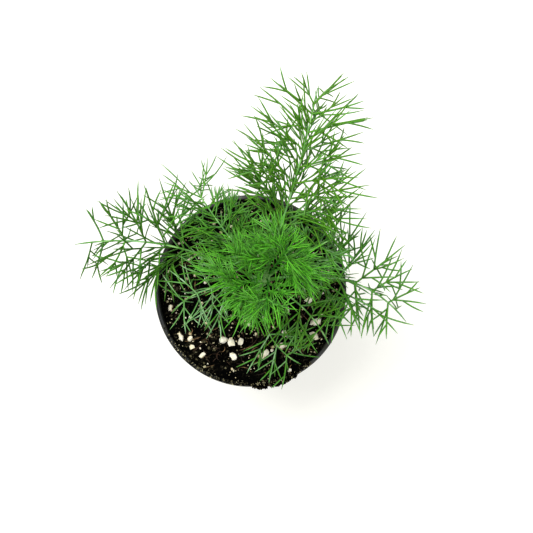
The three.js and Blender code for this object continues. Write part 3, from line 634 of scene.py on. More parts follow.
# %% Scatter the perlite
PERLITE = [  # x, y and mean size in mm
    (-14.3, -26.8, 5.0), (-10.4, -27.6, 4.6), (-5.2, -27.4, 4.0), (-9.4, -34.7, 4.2), (7.3, -33.3, 4.6),
    (17.4, -28.8, 4.2), (17.8, -23.2, 4.0), (33.5, -23.9, 5.0), (35.0, -16.5, 5.2), (31.6, -4.8, 4.4),
    (30.8, 5.7, 3.8), (19.4, -10.8, 3.8), (-43.1, -9.4, 3.2), (-37.1, -24.9, 3.4), (-32.5, -25.7, 3.4),
    (-31.4, -30.2, 3.0), (-26.1, -34.4, 3.2), (-0.6, -18.1, 2.8), (20.8, -41.8, 2.6), (-24.0, 6.2, 3.0),
    (-33.0, 17.5, 2.8), (33.8, 19.0, 3.0), (11.0, 37.5, 2.6),
]
SMALL_PERLITE, PERLITE_REACH, SMALL_SIZES, PERLITE_SHAPES = 250, 47, (0.6, 2.2, 2.5), 4
PERLITE_SUNK, SMALL_SUNK = -0.1, 0.05  # over a granule's width
PERLITE_AGE, SMALL_AGE = (0.0, 0.25), (0.1, 1.0)  # from fresh and white to old and stained
random = np.random.default_rng(seed=23)
granule_shapes = [
    model_lump(
        f"granule {i}", 1, 0.2, (1.35 - 0.12 * i, 0.75 + 0.06 * i, 0.75), seed=i + 20, rounding=0.35)
    for i in range(PERLITE_SHAPES)]
granules = []
for x, y, size in PERLITE:
    granules.append((x, y, PERLITE_SUNK, size, any_way(), random.uniform(*PERLITE_AGE)))
for _ in range(SMALL_PERLITE):
    angle, out = random.uniform(-math.pi, math.pi), PERLITE_REACH * math.sqrt(random.random())
    size = mostly_small(*SMALL_SIZES)
    x, y = out * math.cos(angle), out * math.sin(angle)
    granules.append((x, y, SMALL_SUNK, size, any_way(), random.uniform(*SMALL_AGE)))
print(len(granules), "granules")

# %% Expanded perlite
perlite, tree, shader, position = new_material(
    "expanded_perlite", Roughness=0.92, Specular_IOR_Level=0.25)
age = add_node(tree, "Attribute", attribute_name="tone").outputs["Fac"]
stain = add_node(
    tree, "TexNoise", {"Scale": wavelength(2.6), "Detail": 4, "Roughness": 0.6}, {"Vector": position})
stained = add_node(tree, "Math", {1: 0.45}, {0: age, 2: stain}, operation="MULTIPLY_ADD")
colour = add_node(
    tree, "ValToRGB", links={"Fac": stained},
    stops=[(0.45, "#faf5e2"), (1.0, "#8f7c58"), (0.62, "#f0e7c8"), (0.8, "#d2c396")])
pits = add_node(tree, "TexVoronoi", {"Scale": wavelength(0.8)}, {"Vector": position})
bump = add_node(tree, "Bump", {"Strength": 0.55, "Distance": 0.25 * MM}, {"Height": pits})
link_in(tree, shader, {"Base Color": colour, "Normal": bump})
strewn = lay_out("perlite_granules", granule_shapes, granules, perlite)
hand_in(strewn, "perlite_granules", "potting_mix")

# %% [markdown]
# ## Tubes along a path
#
# Fibres, stem, stalks and threads are all round and slender. One curve object can hold hundreds of
# them as splines, each point with its own radius. A bevel turns every spline into a tube with
# closed ends, and Convert makes it a mesh whose UV map runs round the tube in U and from root to
# tip in V. The same few lines make them all.

# %% Make tubes
SEAM = 0.01  # mm: corners that are nearer than this are merged


def tubes(name, paths, materials, roundness=1):
    """One mesh of tubes. A path is points and radii in mm and the number of its material."""
    curve = bpy.data.curves.new(name, "CURVE")
    for material in materials:
        curve.materials.append(material)
    curve.dimensions = "3D"
    curve.bevel_depth = MM
    curve.bevel_resolution = roundness
    curve.use_fill_caps = True
    for points, radii, material in paths:
        spline = curve.splines.new("POLY")
        spline.points.add(len(points) - 1)
        places = np.ones((len(points), 4))
        places[:, :3] = np.asarray(points) * MM
        spline.points.foreach_set("co", places.ravel())
        spline.points.foreach_set("radius", np.asarray(radii, float))
        spline.material_index = material
        spline.use_smooth = True
    piece = bpy.data.objects.new(name, curve)
    bpy.context.scene.collection.objects.link(piece)
    take_alone(piece)
    bpy.ops.object.convert(target="MESH")
    start_edit(piece)
    bpy.ops.mesh.remove_doubles(threshold=SEAM * MM)
    end_edit()
    return piece


# %% [markdown]
# Shreds of bark and of coconut coir lie between the crumbs, up to 9 mm long and about as thick as a
# bristle. A hair system would scatter them faster, but it would not keep to the lumps of the mix.
# So each fibre walks over the mix in five steps from a seeded start, bending a little at each. The
# damp ones are dark brown, and the dry ones are tan.

# %% Lay the fibres
FIBRES, FIBRE_STEPS, FIBRE_LENGTHS, FIBRE_RADII = 260, 5, (2.5, 9, 2), (0.13, 0.3)
FIBRE_BEND = 0.28  # typical turn at each step, in radians
FIBRE_LIFT = (0.4, 2.4)  # how far its middle lies over the mix, over its radius
FIBRE_WIDTHS = np.array([0.5, 1, 1, 0.9, 0.8, 0.3])  # from end to end
FROM_WALL, DRY_SHARE = 4, 0.35  # mm at the least where it starts, and the share that is dry
random = np.random.default_rng(seed=41)
paths = []
for _ in range(FIBRES):
    angle = random.uniform(-math.pi, math.pi)
    out = (mix_reach(angle) - FROM_WALL) * math.sqrt(random.random())
    x, y = out * math.cos(angle), out * math.sin(angle)
    heading, bend = random.uniform(0, 2 * math.pi), random.normal(0, FIBRE_BEND)
    length, thickness = mostly_small(*FIBRE_LENGTHS), random.uniform(*FIBRE_RADII)
    points = []
    for _ in range(FIBRE_STEPS + 1):
        limit = (mix_reach(math.atan2(y, x)) - 1) / max(1, math.hypot(x, y))
        x, y = x * min(1, limit), y * min(1, limit)
        points.append((x, y, on_mix(x, y) + thickness * random.uniform(*FIBRE_LIFT)))
        x += length / FIBRE_STEPS * math.cos(heading)
        y += length / FIBRE_STEPS * math.sin(heading)
        heading += bend
    paths.append((points, thickness * FIBRE_WIDTHS, int(random.random() < DRY_SHARE)))
print(len(paths), "fibres")


# %% The finish of the fibres
def bark_fibre(name, dark, light):
    """A shred of bark or coir: dull, with light and dark stretches about 3 mm long."""
    material, tree, shader, position = new_material(name, Roughness=0.8, Specular_IOR_Level=0.3)
    grain = add_node(tree, "TexNoise", {"Scale": wavelength(3), "Detail": 3}, {"Vector": position})
    colour = add_node(tree, "ValToRGB", links={"Fac": grain}, stops=[(0.35, dark), (0.68, light)])
    link_in(tree, shader, {"Base Color": colour})
    return material


fibre_skins = [
    bark_fibre("damp_bark_fibre", "#120a05", "#3d2715"),
    bark_fibre("dry_coir_fibre", "#33210f", "#8f7047")]
hand_in(tubes("bark_fibres", paths, fibre_skins, roundness=0), "bark_fibres", "potting_mix")

# %% [markdown]
# ## How a dill leaf grows
#
# A dill leaf is a feather of a feather of a feather. Its curved stalk carries pairs of side stalks,
# each of these carries pairs of smaller ones, and those fork into threads. Drawn by hand that is
# thousands of lines. Grown by a rule it is a page of code: every stalk picks a length and an angle
# from a seeded stream, then looks for free air, turning a little more at each try, and is left out
# where there is none.
#
# The same rule and the same draws shape the plain solids, so the first threads here stand exactly
# where those do. Finer threads are added afterwards in the air that is left.

# %% The stem and the leaves
STEM_PATH = [(5, 4, 72), (5.5, 4.5, 95), (8, 7, 115), (9, 9, 138)]
STEM_RADII = [2.0, 2.6, 2.7, 2.5, 2.2, 1.8, 1.2]
STEM_STRETCHES = 6
FIELDS = "name base bend1 bend2 tip bare pinnules reach upper fine spread fork roll whorl stalk".split()
LEAVES = [SimpleNamespace(**dict(zip(FIELDS, row))) for row in (
    ("leaf_front_low", 0.27, (3, -12, 104), (10, -30, 104), (27, -38, 101),
     0.55, (2, 2, 1), 24, 0.75, 15, 56, 30, 0, False, 0.95),
    ("leaf_left", 0.335, (-20, 19, 115), (-47, 31, 122), (-92, 24, 106),
     0.47, (3, 2, 2, 1, 0), 38, 0.55, 22, 60, 31, 0, False, 1.15),
    ("leaf_right", 0.4, (26, 10, 120), (57, 14, 124), (82, -17, 101),
     0.42, (3, 3, 2, 2, 1), 38, 0.55, 21, 60, 29, -6, False, 1.15),
    ("leaf_front_left", 0.465, (-10, 4, 124), (-28, 4, 128), (-41, -12, 104),
     0.36, (3, 2, 2, 1), 27, 0.6, 16, 62, 26, 8, False, 1.0),
    ("leaf_front_right", 0.53, (20, -1, 129), (32, -9, 132), (41, -28, 104),
     0.34, (3, 3, 2, 1), 27, 0.6, 16, 62, 26, 6, False, 1.0),
    ("leaf_back_left", 0.58, (-2, 17, 133), (-13, 31, 138), (-29, 55, 127),
     0.3, (3, 3, 2, 1), 28, 0.6, 16, 62, 25, 0, False, 1.05),
    ("leaf_back", 0.685, (12, 24, 145), (24, 54, 166), (32, 96, 162),
     0.38, (4, 4, 3, 3, 2, 1, 1, 0), 43, 0.62, 18, 60, 24, 4, False, 1.25),
    ("leaf_young_left", 0.725, (3, 8, 138), (0, 6, 149), (-8, 1, 156),
     0.26, (3, 2, 2), 21, 0.7, 13, 57, 22, 0, True, 0.9),
    ("leaf_back_right", 0.79, (22, 17, 146), (34, 24, 152), (49, 30, 134),
     0.3, (3, 3, 2, 1), 25, 0.6, 15, 61, 24, 0, False, 1.0),
    ("leaf_young_front", 0.855, (10, 4, 146), (9, 0, 155), (8, -7, 160),
     0.24, (3, 2, 2), 20, 0.7, 13, 53, 22, 0, True, 0.85),
    ("leaf_young_back", 0.92, (13, 13, 152), (15, 17, 165), (18, 21, 174),
     0.24, (3, 2, 2), 20, 0.7, 13, 52, 22, 0, True, 0.85),
)]
print([leaf.name for leaf in LEAVES])

# %% The values of the rule
GROWTH = SimpleNamespace(  # lengths and radii in mm, angles in degrees, the rest are shares
    sheath=1.8, sheath_share=0.2, rachis_taper=0.45, rachis_steps=9, last_pair=0.96,
    pinna_lengths=(0.88, 1.08), pinna_turn=10, pinna_radius=0.6,
    pinnule_from=0.14, first_pinnule=3.2, station_gap=2.3, pinnule_fade=0.3, pinnule_angle=40,
    pinnule_radius=0.54, thread_radius=0.48, point_radius=0.1, station=1.7, node_station=2.2,
    lengths=(0.85, 1.15), turn=12, fork_at=0.28, thread_length=0.84, end_fork_at=0.6,
    end_thread_length=0.46, sway=24, bow=0.06, bow_shares=(0, 0.3, 0.65, 1), shortest=6.5,
    first_station=3.2, root=1.6, tries=10, try_angle=6, shorter=0.6, stalk_steep=0.45,
    thread_steep=0.27, ahead=0.1, air=0.46, over_mix=2.3, over_floor=1, short_step=1e-4)
FACETS = (30, 150, 270)  # the way that each facet of a three-sided stalk faces, in degrees


# %% Draws, shares and curves
def draws(seed):
    """An endless stream of seeded numbers from 0 to 1, from the same rule as the solids' own."""
    top = 2**32
    state = (seed + 1) * 747796405 % top
    while True:
        state = (state * 1664525 + 1013904223) % top
        yield state / top


def mix(low, high, share):
    """The value that is this share of the way from low to high."""
    return low * (1 - share) + high * share


def unit(vector):
    """A vector of the same direction and length 1."""
    return vector / math.sqrt(vector @ vector)


def bezier(corners, share):
    """The point at a share of a curve of three or four control points."""
    rest = 1 - share
    if len(corners) == 3:
        weights = (rest * rest, 2 * rest * share, share * share)
    else:
        weights = (rest**3, 3 * rest * rest * share, 3 * rest * share * share, share**3)
    return sum(weight * corner for weight, corner in zip(weights, corners))


# %% [markdown]
# The stretches of stalk that already stand are kept as columns of numbers, so one line of
# arithmetic measures a new stretch against all of them at once. The distance between two straight
# stretches is found where they come closest, and the radii there are taken off.

# %% Keep what already stands
FAR = 3  # mm: what stands further away than this is not measured
TINY = 1e-9
STEM_NUMBER, FIRST_LEAF_NUMBER, NOTHING = -3, -10, -1  # numbers that no grown stalk has


class Standing:
    """Every stretch of stalk that stands: its ends, its radii and the stalk that it belongs to."""

    def __init__(self, room=10000):
        self.middle, self.half = np.zeros((room, 3)), np.zeros(room)
        self.ends, self.radii = np.zeros((room, 9)), np.zeros((room, 2))
        self.owner, self.parent = np.zeros(room, int), np.zeros(room, int)
        self.count = 0

    def add(self, start, end, clear, thick, thin, owner, parent):
        i = self.count
        self.middle[i], self.half[i] = (start + end) / 2, math.dist(start, end) / 2
        self.ends[i], self.radii[i] = (*start, *end, *clear), (thick, thin)
        self.owner[i], self.parent[i] = owner, parent
        self.count += 1

    def least_air(self, start, end, clear, thick, thin, parent):
        """The least air between a new stretch and the rest, but not the stalk that it grows from."""
        n = self.count
        reach = math.dist(start, end) / 2 + FAR + self.half[:n]
        apart = self.middle[:n] - (start + end) / 2
        near = np.einsum("ij,ij->i", apart, apart) <= reach * reach
        near = np.nonzero(near & (self.owner[:n] != parent))[0]
        if not len(near):
            return FAR
        ends, sibling = self.ends[near], self.parent[near] == parent
        starts = np.where(sibling[:, None], ends[:, 6:9], ends[:, 0:3])
        own = np.where(sibling[:, None], clear, start)
        along, across, gap = end - own, ends[:, 3:6] - starts, own - starts
        a, b, c = (along**2).sum(1), (along * across).sum(1), (across**2).sum(1)
        d, e = (along * gap).sum(1), (across * gap).sum(1)
        s = np.clip((b * e - c * d) / np.maximum(a * c - b * b, TINY), 0, 1)
        t = np.clip((b * s + e) / c, 0, 1)
        s = np.clip((b * t - d) / a, 0, 1)
        distance = np.sqrt(((gap + along * s[:, None] - across * t[:, None]) ** 2).sum(1))
        own, other = mix(thick, thin, s), mix(self.radii[near, 0], self.radii[near, 1], t)
        return (distance - own - other).min()


# %% Stay above the ground
NEAR_LIP = RIM_RADIUS - 5


def is_above_ground(start, end):
    """Whether a stretch stays over the mix, the lip and the floor."""
    for share in (0, 0.5, 1):
        x, y, z = start + (end - start) * share
        out, ground = math.hypot(x, y), GROWTH.over_floor
        if out <= RIM_RADIUS + MIX.spill + 1:
            ground = max(POT_HEIGHT if out > NEAR_LIP else 0, mix_height(x, y)) + GROWTH.over_mix
        if z <= ground:
            return False
    return True


# %% [markdown]
# A new stalk leaves one facet of its parent. Its direction starts from the angle that it wishes for
# and sways a little to one side. When something stands in the way, the next try turns further off.
# A stalk that finds no room is tried once more at a shorter length.


# %% Turn a stalk with its root
def frame_along(way, across, tangent, half_width, half_length):
    """The side and normal of a stalk whose three corners follow those of its root without a twist."""
    first = unit(across - way * (across @ way))
    second = np.cross(way, first)
    turns = []
    for i, (wide, long) in enumerate(((-2, -1), (1, -1), (1, 2))):
        corner = across * (wide * half_width) + tangent * (long * half_length)
        turns.append(math.atan2(corner @ second, corner @ first) - i * 2 * math.pi / 3)
    turn = math.atan2(sum(map(math.sin, turns)), sum(map(math.cos, turns))) + math.pi / 6
    side = first * math.cos(turn) + second * math.sin(turn)
    return side, np.cross(way, side)


# %% Look for room
stems_grown = 0


def sprout(parent, place, wish, random, air=GROWTH.air, shortest=GROWTH.shortest, box=None):
    """Look for room for a stalk and stand it there, or return nothing."""
    global stems_grown
    facing = math.radians(place.facet)
    outward = place.side * math.cos(facing) + place.normal * math.sin(facing)
    across = np.cross(place.tangent, outward)
    half_width = place.radius * math.sin(math.pi / place.sides)
    sway = math.radians(GROWTH.sway) * (2 * next(random) - 1)
    aside = outward * math.cos(sway) + across * math.sin(sway)
    angle = math.radians(wish.angle)
    start = place.tangent * math.cos(angle) + aside * math.sin(angle)
    for share in (1, GROWTH.shorter):
        length = wish.length * share
        if length < shortest:
            return None
        for attempt in range(GROWTH.tries):
            reach = 2 * math.sin(math.radians(GROWTH.try_angle * attempt))
            shift = np.array([next(random) - 0.5, next(random) - 0.5, next(random) - 0.5])
            way = unit(start + shift * reach)
            if way @ outward < wish.steep or way @ place.tangent < GROWTH.ahead:
                continue
            side, normal = frame_along(way, across, place.tangent, half_width, place.station / 2)
            middle = place.point + way * (length / 2) + place.normal * (2 * wish.bow * length)
            corners = (place.point, middle, place.point + way * length)
            if box is not None and ((corners[2] < box[0]) | (corners[2] > box[1])).any():
                continue
            shares = GROWTH.bow_shares if wish.bow else (0, 1)
            points = [bezier(corners, at) for at in shares]
            roots = [bezier(corners, GROWTH.root / length), *points[1:]]
            radii = [mix(wish.thick, GROWTH.point_radius, at) for at in shares]
            stretches = list(zip(points, points[1:], roots, radii, radii[1:]))
            if all(standing.least_air(*one, parent) >= air and is_above_ground(*one[:2])
                   for one in stretches):
                stems_grown += 1
                for one in stretches:
                    standing.add(*one, stems_grown, parent)
                return SimpleNamespace(
                    number=stems_grown, corners=corners, tangent=way, side=side, normal=normal,
                    length=length, radius=wish.thick, sides=3, random=random, place=place)
    return None


def place_on(stalk, share, facet):
    """The place of a facet on a stalk, where another can grow."""
    return SimpleNamespace(
        on=stalk, share=share, facet=facet, point=bezier(stalk.corners, share), tangent=stalk.tangent,
        side=stalk.side, normal=stalk.normal, radius=stalk.radius, sides=3, station=GROWTH.station)


# %% [markdown]
# The whole plant grows one order at a time: first every leaf's main stalk, then all side stalks,
# then all the smaller ones, then the threads. Grown leaf by leaf instead, the first leaf would take
# all the room.


# %% The main stalk of a leaf
def rachis_radius(leaf, share):
    """Radius of a leaf's main stalk, which is a sheath where it clasps the stem."""
    clasp = mix(GROWTH.sheath, 1, ease(share, 0, GROWTH.sheath_share))
    return leaf.stalk * mix(1, GROWTH.rachis_taper, share) * clasp


def start_rachis(leaf, number):
    """The curve of a leaf's main stalk and the way its blade faces."""
    leaf.number = FIRST_LEAF_NUMBER - number
    bends = map(np.array, (leaf.bend1, leaf.bend2, leaf.tip))
    leaf.corners = [bezier(stem_corners, leaf.base), *bends]
    heading = unit((leaf.corners[3] - leaf.corners[0]) * (1, 1, 0))
    level = np.array([heading[1], -heading[0], 0])
    roll = math.radians(-leaf.roll)
    leaf.level = level * math.cos(roll) + np.cross(heading, level) * math.sin(roll)
    pairs = len(leaf.pinnules)
    leaf.shares = [mix(leaf.bare, GROWTH.last_pair, pair / pairs) for pair in range(pairs)]
    for i in range(GROWTH.rachis_steps):
        near, far = i / GROWTH.rachis_steps, (i + 1) / GROWTH.rachis_steps
        ends = bezier(leaf.corners, near), bezier(leaf.corners, far)
        radii = rachis_radius(leaf, near), rachis_radius(leaf, far)
        standing.add(*ends, ends[0], *radii, leaf.number, NOTHING)


def blade_at(leaf, share):
    """Point, tangent, side and normal of a leaf's main stalk."""
    ahead = bezier(leaf.corners, min(1, share + GROWTH.short_step))
    behind = bezier(leaf.corners, max(0, share - GROWTH.short_step))
    tangent = unit(ahead - behind)
    side = unit(leaf.level - tangent * (leaf.level @ tangent))
    return SimpleNamespace(
        point=bezier(leaf.corners, share), tangent=tangent, side=side, normal=np.cross(tangent, side))


# %% The side stalks
def wish_for(length, angle, thick, steep=GROWTH.stalk_steep, bow=0):
    """What a stalk would be like if it had room. steep is how far it must lean out of its facet."""
    return SimpleNamespace(length=length, angle=angle, thick=thick, steep=steep, bow=bow)


def place_on_rachis(leaf, share, facet):
    """The place of a facet on a leaf's main stalk: 0 and 180 are its sides, and 90 is its top."""
    place = blade_at(leaf, share)
    place.radius, place.sides, place.station = rachis_radius(leaf, share), 4, GROWTH.node_station
    place.on, place.facet = None, facet
    return place


def grow_pinnae(leaf, random):
    """The pairs of side stalks of one leaf, from the lowest up."""
    pinnae = []
    for pair, (count, share) in enumerate(zip(leaf.pinnules, leaf.shares)):
        reach = leaf.reach * mix(1, leaf.upper, pair / max(1, len(leaf.shares) - 1))
        for facet in (0, 180):
            length = reach * mix(*GROWTH.pinna_lengths, next(random))
            angle = leaf.spread + GROWTH.pinna_turn * (next(random) - 0.5)
            wish = wish_for(length, angle, GROWTH.pinna_radius, bow=GROWTH.bow)
            pinna = sprout(leaf.number, place_on_rachis(leaf, share, facet), wish, random)
            if pinna:
                pinna.leaf, pinna.count = leaf, count
                pinnae.append(pinna)
    return pinnae


# %% The smaller stalks and the threads
def grow_pinnules(pinna):
    """The smaller stalks of one side stalk: two at a station, beside it, or three all round it."""
    pinnules = []
    start = max(GROWTH.pinnule_from, GROWTH.first_pinnule / pinna.length)
    room = (GROWTH.end_fork_at - start) * pinna.length
    pinna.start, pinna.count = start, min(pinna.count, math.floor(room / GROWTH.station_gap))
    for order in range(pinna.count):
        share = mix(start, GROWTH.end_fork_at, order / pinna.count)
        for facet in FACETS:
            if facet == FACETS[2] and not (pinna.leaf.whorl or order % 2 == 1):
                continue
            length = pinna.leaf.fine * (1 - GROWTH.pinnule_fade * share)
            length *= mix(*GROWTH.lengths, next(pinna.random))
            angle = GROWTH.pinnule_angle + GROWTH.turn * (next(pinna.random) - 0.5)
            wish = wish_for(length, angle, GROWTH.pinnule_radius)
            pinnule = sprout(pinna.number, place_on(pinna, share, facet), wish, pinna.random)
            if pinnule:
                pinnule.leaf = pinna.leaf
                pinnules.append(pinnule)
    return pinnules


def grow_threads(stalk, fork_at, length_share):
    """The threads that a stalk forks into beside its own tip."""
    share = max(fork_at, GROWTH.first_station / stalk.length)
    threads = []
    for facet in FACETS:
        length = stalk.length * length_share * mix(*GROWTH.lengths, next(stalk.random))
        angle = stalk.leaf.fork + GROWTH.turn * (next(stalk.random) - 0.5)
        wish = wish_for(length, angle, GROWTH.thread_radius, GROWTH.thread_steep)
        thread = sprout(stalk.number, place_on(stalk, share, facet), wish, stalk.random)
        if thread:
            thread.leaf, thread.facet = stalk.leaf, facet
            threads.append(thread)
    return threads


# %% Grow the plain plant
standing = Standing()
stem_corners = [np.array(place, float) for place in STEM_PATH]
on_stem = [bezier(stem_corners, i / STEM_STRETCHES) for i in range(STEM_STRETCHES + 1)]
for foot, head in zip(on_stem, on_stem[1:]):
    standing.add(foot, head, foot, max(STEM_RADII), max(STEM_RADII), STEM_NUMBER, NOTHING)
for number, leaf in enumerate(LEAVES):
    start_rachis(leaf, number)
pinnae = [pinna for number, leaf in enumerate(LEAVES) for pinna in grow_pinnae(leaf, draws(number))]
pinnules = [pinnule for pinna in pinnae for pinnule in grow_pinnules(pinna)]
end_threads = [thread for pinna in pinnae
               for thread in grow_threads(pinna, GROWTH.end_fork_at, GROWTH.end_thread_length)]
threads = [thread for pinnule in pinnules
           for thread in grow_threads(pinnule, GROWTH.fork_at, GROWTH.thread_length)]
print(len(pinnae), "side stalks,", len(pinnules), "smaller,", len(threads + end_threads), "threads")

# %% Measure how well they follow the solids
furthest = 0
for leaf in LEAVES:
    corners = np.array([v.co for v in frame["nodes"][leaf.name].data.vertices]) / MM
    for stalk in (one for one in pinnae + pinnules + threads + end_threads if one.leaf is leaf):
        furthest = max(furthest, np.sqrt(((corners - stalk.corners[2]) ** 2).sum(1).min()))
print("furthest tip from its solid's own:", round(float(furthest), 4), "mm")

# %% [markdown]
# The plain plant has some twelve hundred threads, as many as a faceted solid can carry, and each is
# thick enough to be cast. A living leaf has finer and more. So the stalks that stand are first
# slimmed, and then tufts grow from the main stalks, more small stalks from the side stalks, and
# threads from all of them, in whatever air is left. An old leaf is open and gets almost none, and a
# young one is a dense brush. A box round the plant keeps them all inside its true size.

# %% How dense each leaf is
SLIMMED = 0.62  # radius of the finished stalks over that of the plain ones
DRESS = {  # a thread's radius in mm, then threads at a fork, tufts and small stalks in a gap, and curl
    "leaf_front_low": (0.36, 0, 0, 0, 1), "leaf_left": (0.42, 2, 1, 0, 1),
    "leaf_right": (0.42, 1, 1, 0, 1), "leaf_front_left": (0.33, 0, 2, 0, 2.6),
    "leaf_front_right": (0.35, 0, 0, 0, 1.6), "leaf_back_left": (0.35, 2, 6, 0, 1.6),
    "leaf_back": (0.39, 2, 4, 0, 1), "leaf_back_right": (0.34, 2, 2, 0, 1.6),
    "leaf_young_left": (0.27, 2, 5, 1, 1.6), "leaf_young_front": (0.27, 2, 3, 0, 1.6),
    "leaf_young_back": (0.27, 3, 6, 1, 1.6),
}
TUFTS = [  # where tufts stand: share of the gap between two pairs, facet, and angle to the main stalk
    (0.5, 90, 46), (0.0, 90, 62), (0.5, 0, 38), (0.5, 180, 38), (0.25, 135, 52), (0.75, 45, 52),
]
TUFT_SEED, LOW_TUFTS = 100, 4  # the second: tufts of an older leaf below its lowest pair
FORKS = [(0.3, 0.85), (0.55, 0.6)]  # where threads leave a stalk, and their length, over its length
LAST_FORK = (0.6, 0.44)  # the same for the small stalks of a young leaf
FINE = SimpleNamespace(
    lengths=(0.75, 1.15), turn=18, steep=0.2, air=0.1, shortest=3.5, last_tuft=0.98, box_gap=1.0)
# How young and older leaves differ: the length of the lowest and highest tufts and of the small stalks,
# over that of the plain ones, and the angle of the small stalks and the facets that they leave
BRUSH = SimpleNamespace(tufts=(1.3, 0.9), small=1.3, small_angle=24, facets=FACETS)
OPEN = SimpleNamespace(tufts=(1.5, 1.2), small=0.8, small_angle=40, facets=FACETS[:2])
YOUNG_FORK, WIDER_FORK = 12, 4  # a young thread's angle, and what is added to an older leaf's own
plant_box = [np.array(cad_box[0]) / MM + FINE.box_gap, np.array(cad_box[1]) / MM - FINE.box_gap]
standing.radii[: standing.count] *= SLIMMED


# %% Fine stalks, tufts and forks
def add_fine(stalk, place, length, angle, random):
    """Grow one fine stalk at a place, if there is any air for it."""
    leaf = stalk.leaf
    length *= mix(*FINE.lengths, next(random))
    wish = wish_for(length, angle + FINE.turn * (next(random) - 0.5), leaf.thread, FINE.steep)
    fine = sprout(stalk.number, place, wish, random, FINE.air, FINE.shortest, plant_box)
    if fine:
        fine.leaf = leaf
    return fine


def grow_tufts(leaf, random):
    """Fine stalks straight from a main stalk, in the gaps between its pairs of side stalks."""
    gap = leaf.shares[1] - leaf.shares[0]
    rows = [(share, leaf.tufts) for share in leaf.shares]
    if leaf.tufts and not leaf.whorl:
        rows.append((leaf.shares[0] - gap, LOW_TUFTS))
    places = [
        (min(FINE.last_tuft, share + shift * gap), facet, angle)
        for share, count in rows for shift, facet, angle in TUFTS[:count]]
    return [
        add_fine(leaf, place_on_rachis(leaf, share, facet),
                 leaf.fine * mix(*leaf.growth.tufts, share), angle, random)
        for share, facet, angle in places]


def grow_more(pinna):
    """Fine stalks between the small stalks of a side stalk."""
    leaf, stations = pinna.leaf, max(1, pinna.count)
    step = (GROWTH.end_fork_at - pinna.start) / stations
    return [
        add_fine(pinna, place_on(pinna, pinna.start + step * (i / leaf.more + order), facet),
                 leaf.fine * leaf.growth.small, leaf.growth.small_angle, pinna.random)
        for order in range(stations) for i in range(1, leaf.more + 1) for facet in leaf.growth.facets]


def grow_forks(stalk, share, length_share):
    """The fine threads that a stalk forks into."""
    angle = YOUNG_FORK if stalk.leaf.whorl else stalk.leaf.fork + WIDER_FORK
    return [
        add_fine(stalk, place_on(stalk, share, facet), length_share * stalk.length, angle, stalk.random)
        for facet in FACETS[: stalk.leaf.forks]]


# %% Fill in the finer growth
for leaf in LEAVES:
    leaf.leaf, leaf.growth = leaf, BRUSH if leaf.whorl else OPEN
    leaf.thread, leaf.forks, leaf.tufts, leaf.more, leaf.curl = DRESS[leaf.name]
tufts = [
    tuft for number, leaf in enumerate(LEAVES) for tuft in grow_tufts(leaf, draws(TUFT_SEED + number))
    if tuft]
more_pinnules = [stalk for pinna in pinnae for stalk in grow_more(pinna) if stalk]
fine_threads = [
    thread for stalk in tufts + more_pinnules for fork in FORKS for thread in grow_forks(stalk, *fork)
    if thread]
fine_threads += [
    thread for stalk in pinnules if stalk.leaf.more
    for thread in grow_forks(stalk, *LAST_FORK) if thread]
threads = [thread for thread in threads if thread.facet in FACETS[: thread.leaf.forks]]
end_threads = [thread for thread in end_threads if thread.facet in FACETS[: max(1, thread.leaf.forks)]]
print(len(tufts), "tufts,", len(more_pinnules), "small stalks and", len(fine_threads), "threads added")

# %% [markdown]
# ## The stem
#
# The stem is short and hidden under the leaves, yet it shows from the side. It is a tube with fine
# ribs, as in all the parsley family, and it thickens a little where each leaf's sheath wraps round
# it.

# %% The shape of the stem
STEM_STEPS = 36
RING, RING_WIDTH = 0.04, 0.02  # how much wider it is at a sheath, and over what share of its length
shares = [i / STEM_STEPS for i in range(STEM_STEPS + 1)]
stem_points = [bezier(stem_corners, share) for share in shares]
stem_radii = [
    float(np.interp(share, np.linspace(0, 1, len(STEM_RADII)), STEM_RADII))
    * (1 + RING * max(math.exp(-(((share - leaf.base) / RING_WIDTH) ** 2)) for leaf in LEAVES))
    for share in shares]
print("stem radius:", round(min(stem_radii), 2), "to", round(max(stem_radii), 2), "mm")

# %% The finish of a stalk
FLESH = {"IOR": 1.42, "Subsurface_Weight": 0.05, "Subsurface_Scale": 0.5 * MM}  # of any living green


def ribbed_stalk(name, body, rib, ribs, bloom):
    """A dill stalk: smooth green skin, fine pale ribs along it, and a thin waxy bloom."""
    material, tree, shader, position = new_material(
        name, Roughness=0.6, Specular_IOR_Level=0.06, **FLESH)
    round_it = add_node(tree, "SeparateXYZ", links={"Vector": position.node.outputs["UV"]})
    turns = add_node(
        tree, "Math", {1: 2 * math.pi * ribs}, {0: round_it.outputs["X"]}, operation="MULTIPLY")
    wave = add_node(tree, "Math", links={0: turns}, operation="SINE")
    on_rib = add_node(tree, "MapRange", {"From Min": 0.1, "From Max": 0.9}, {"Value": wave})
    skin = add_node(
        tree, "Mix", {"A": linear(body), "B": linear(rib)}, {"Factor": on_rib}, data_type="RGBA")
    wax = add_node(tree, "TexNoise", {"Scale": wavelength(7), "Detail": 3}, {"Vector": position})
    waxy = add_node(
        tree, "MapRange", {"From Min": 0.45, "From Max": 0.75, "To Max": 0.4}, {"Value": wax})
    colour = add_node(
        tree, "Mix", {"B": linear(bloom)}, {"Factor": waxy, "A": skin}, data_type="RGBA")
    bump = add_node(tree, "Bump", {"Strength": 0.5, "Distance": 0.12 * MM}, {"Height": wave})
    link_in(tree, shader, {"Base Color": colour, "Normal": bump})
    return material


# %% Make the stem
stem_skin = ribbed_stalk("dill_stem_ribbed", "#5f9a3f", "#93bb78", 14, "#9ac98c")
stem = tubes("dill_stem", [(stem_points, stem_radii, 0)], [stem_skin], roundness=6)
hand_in(stem, "dill_stem", "dill_stem", "stem")

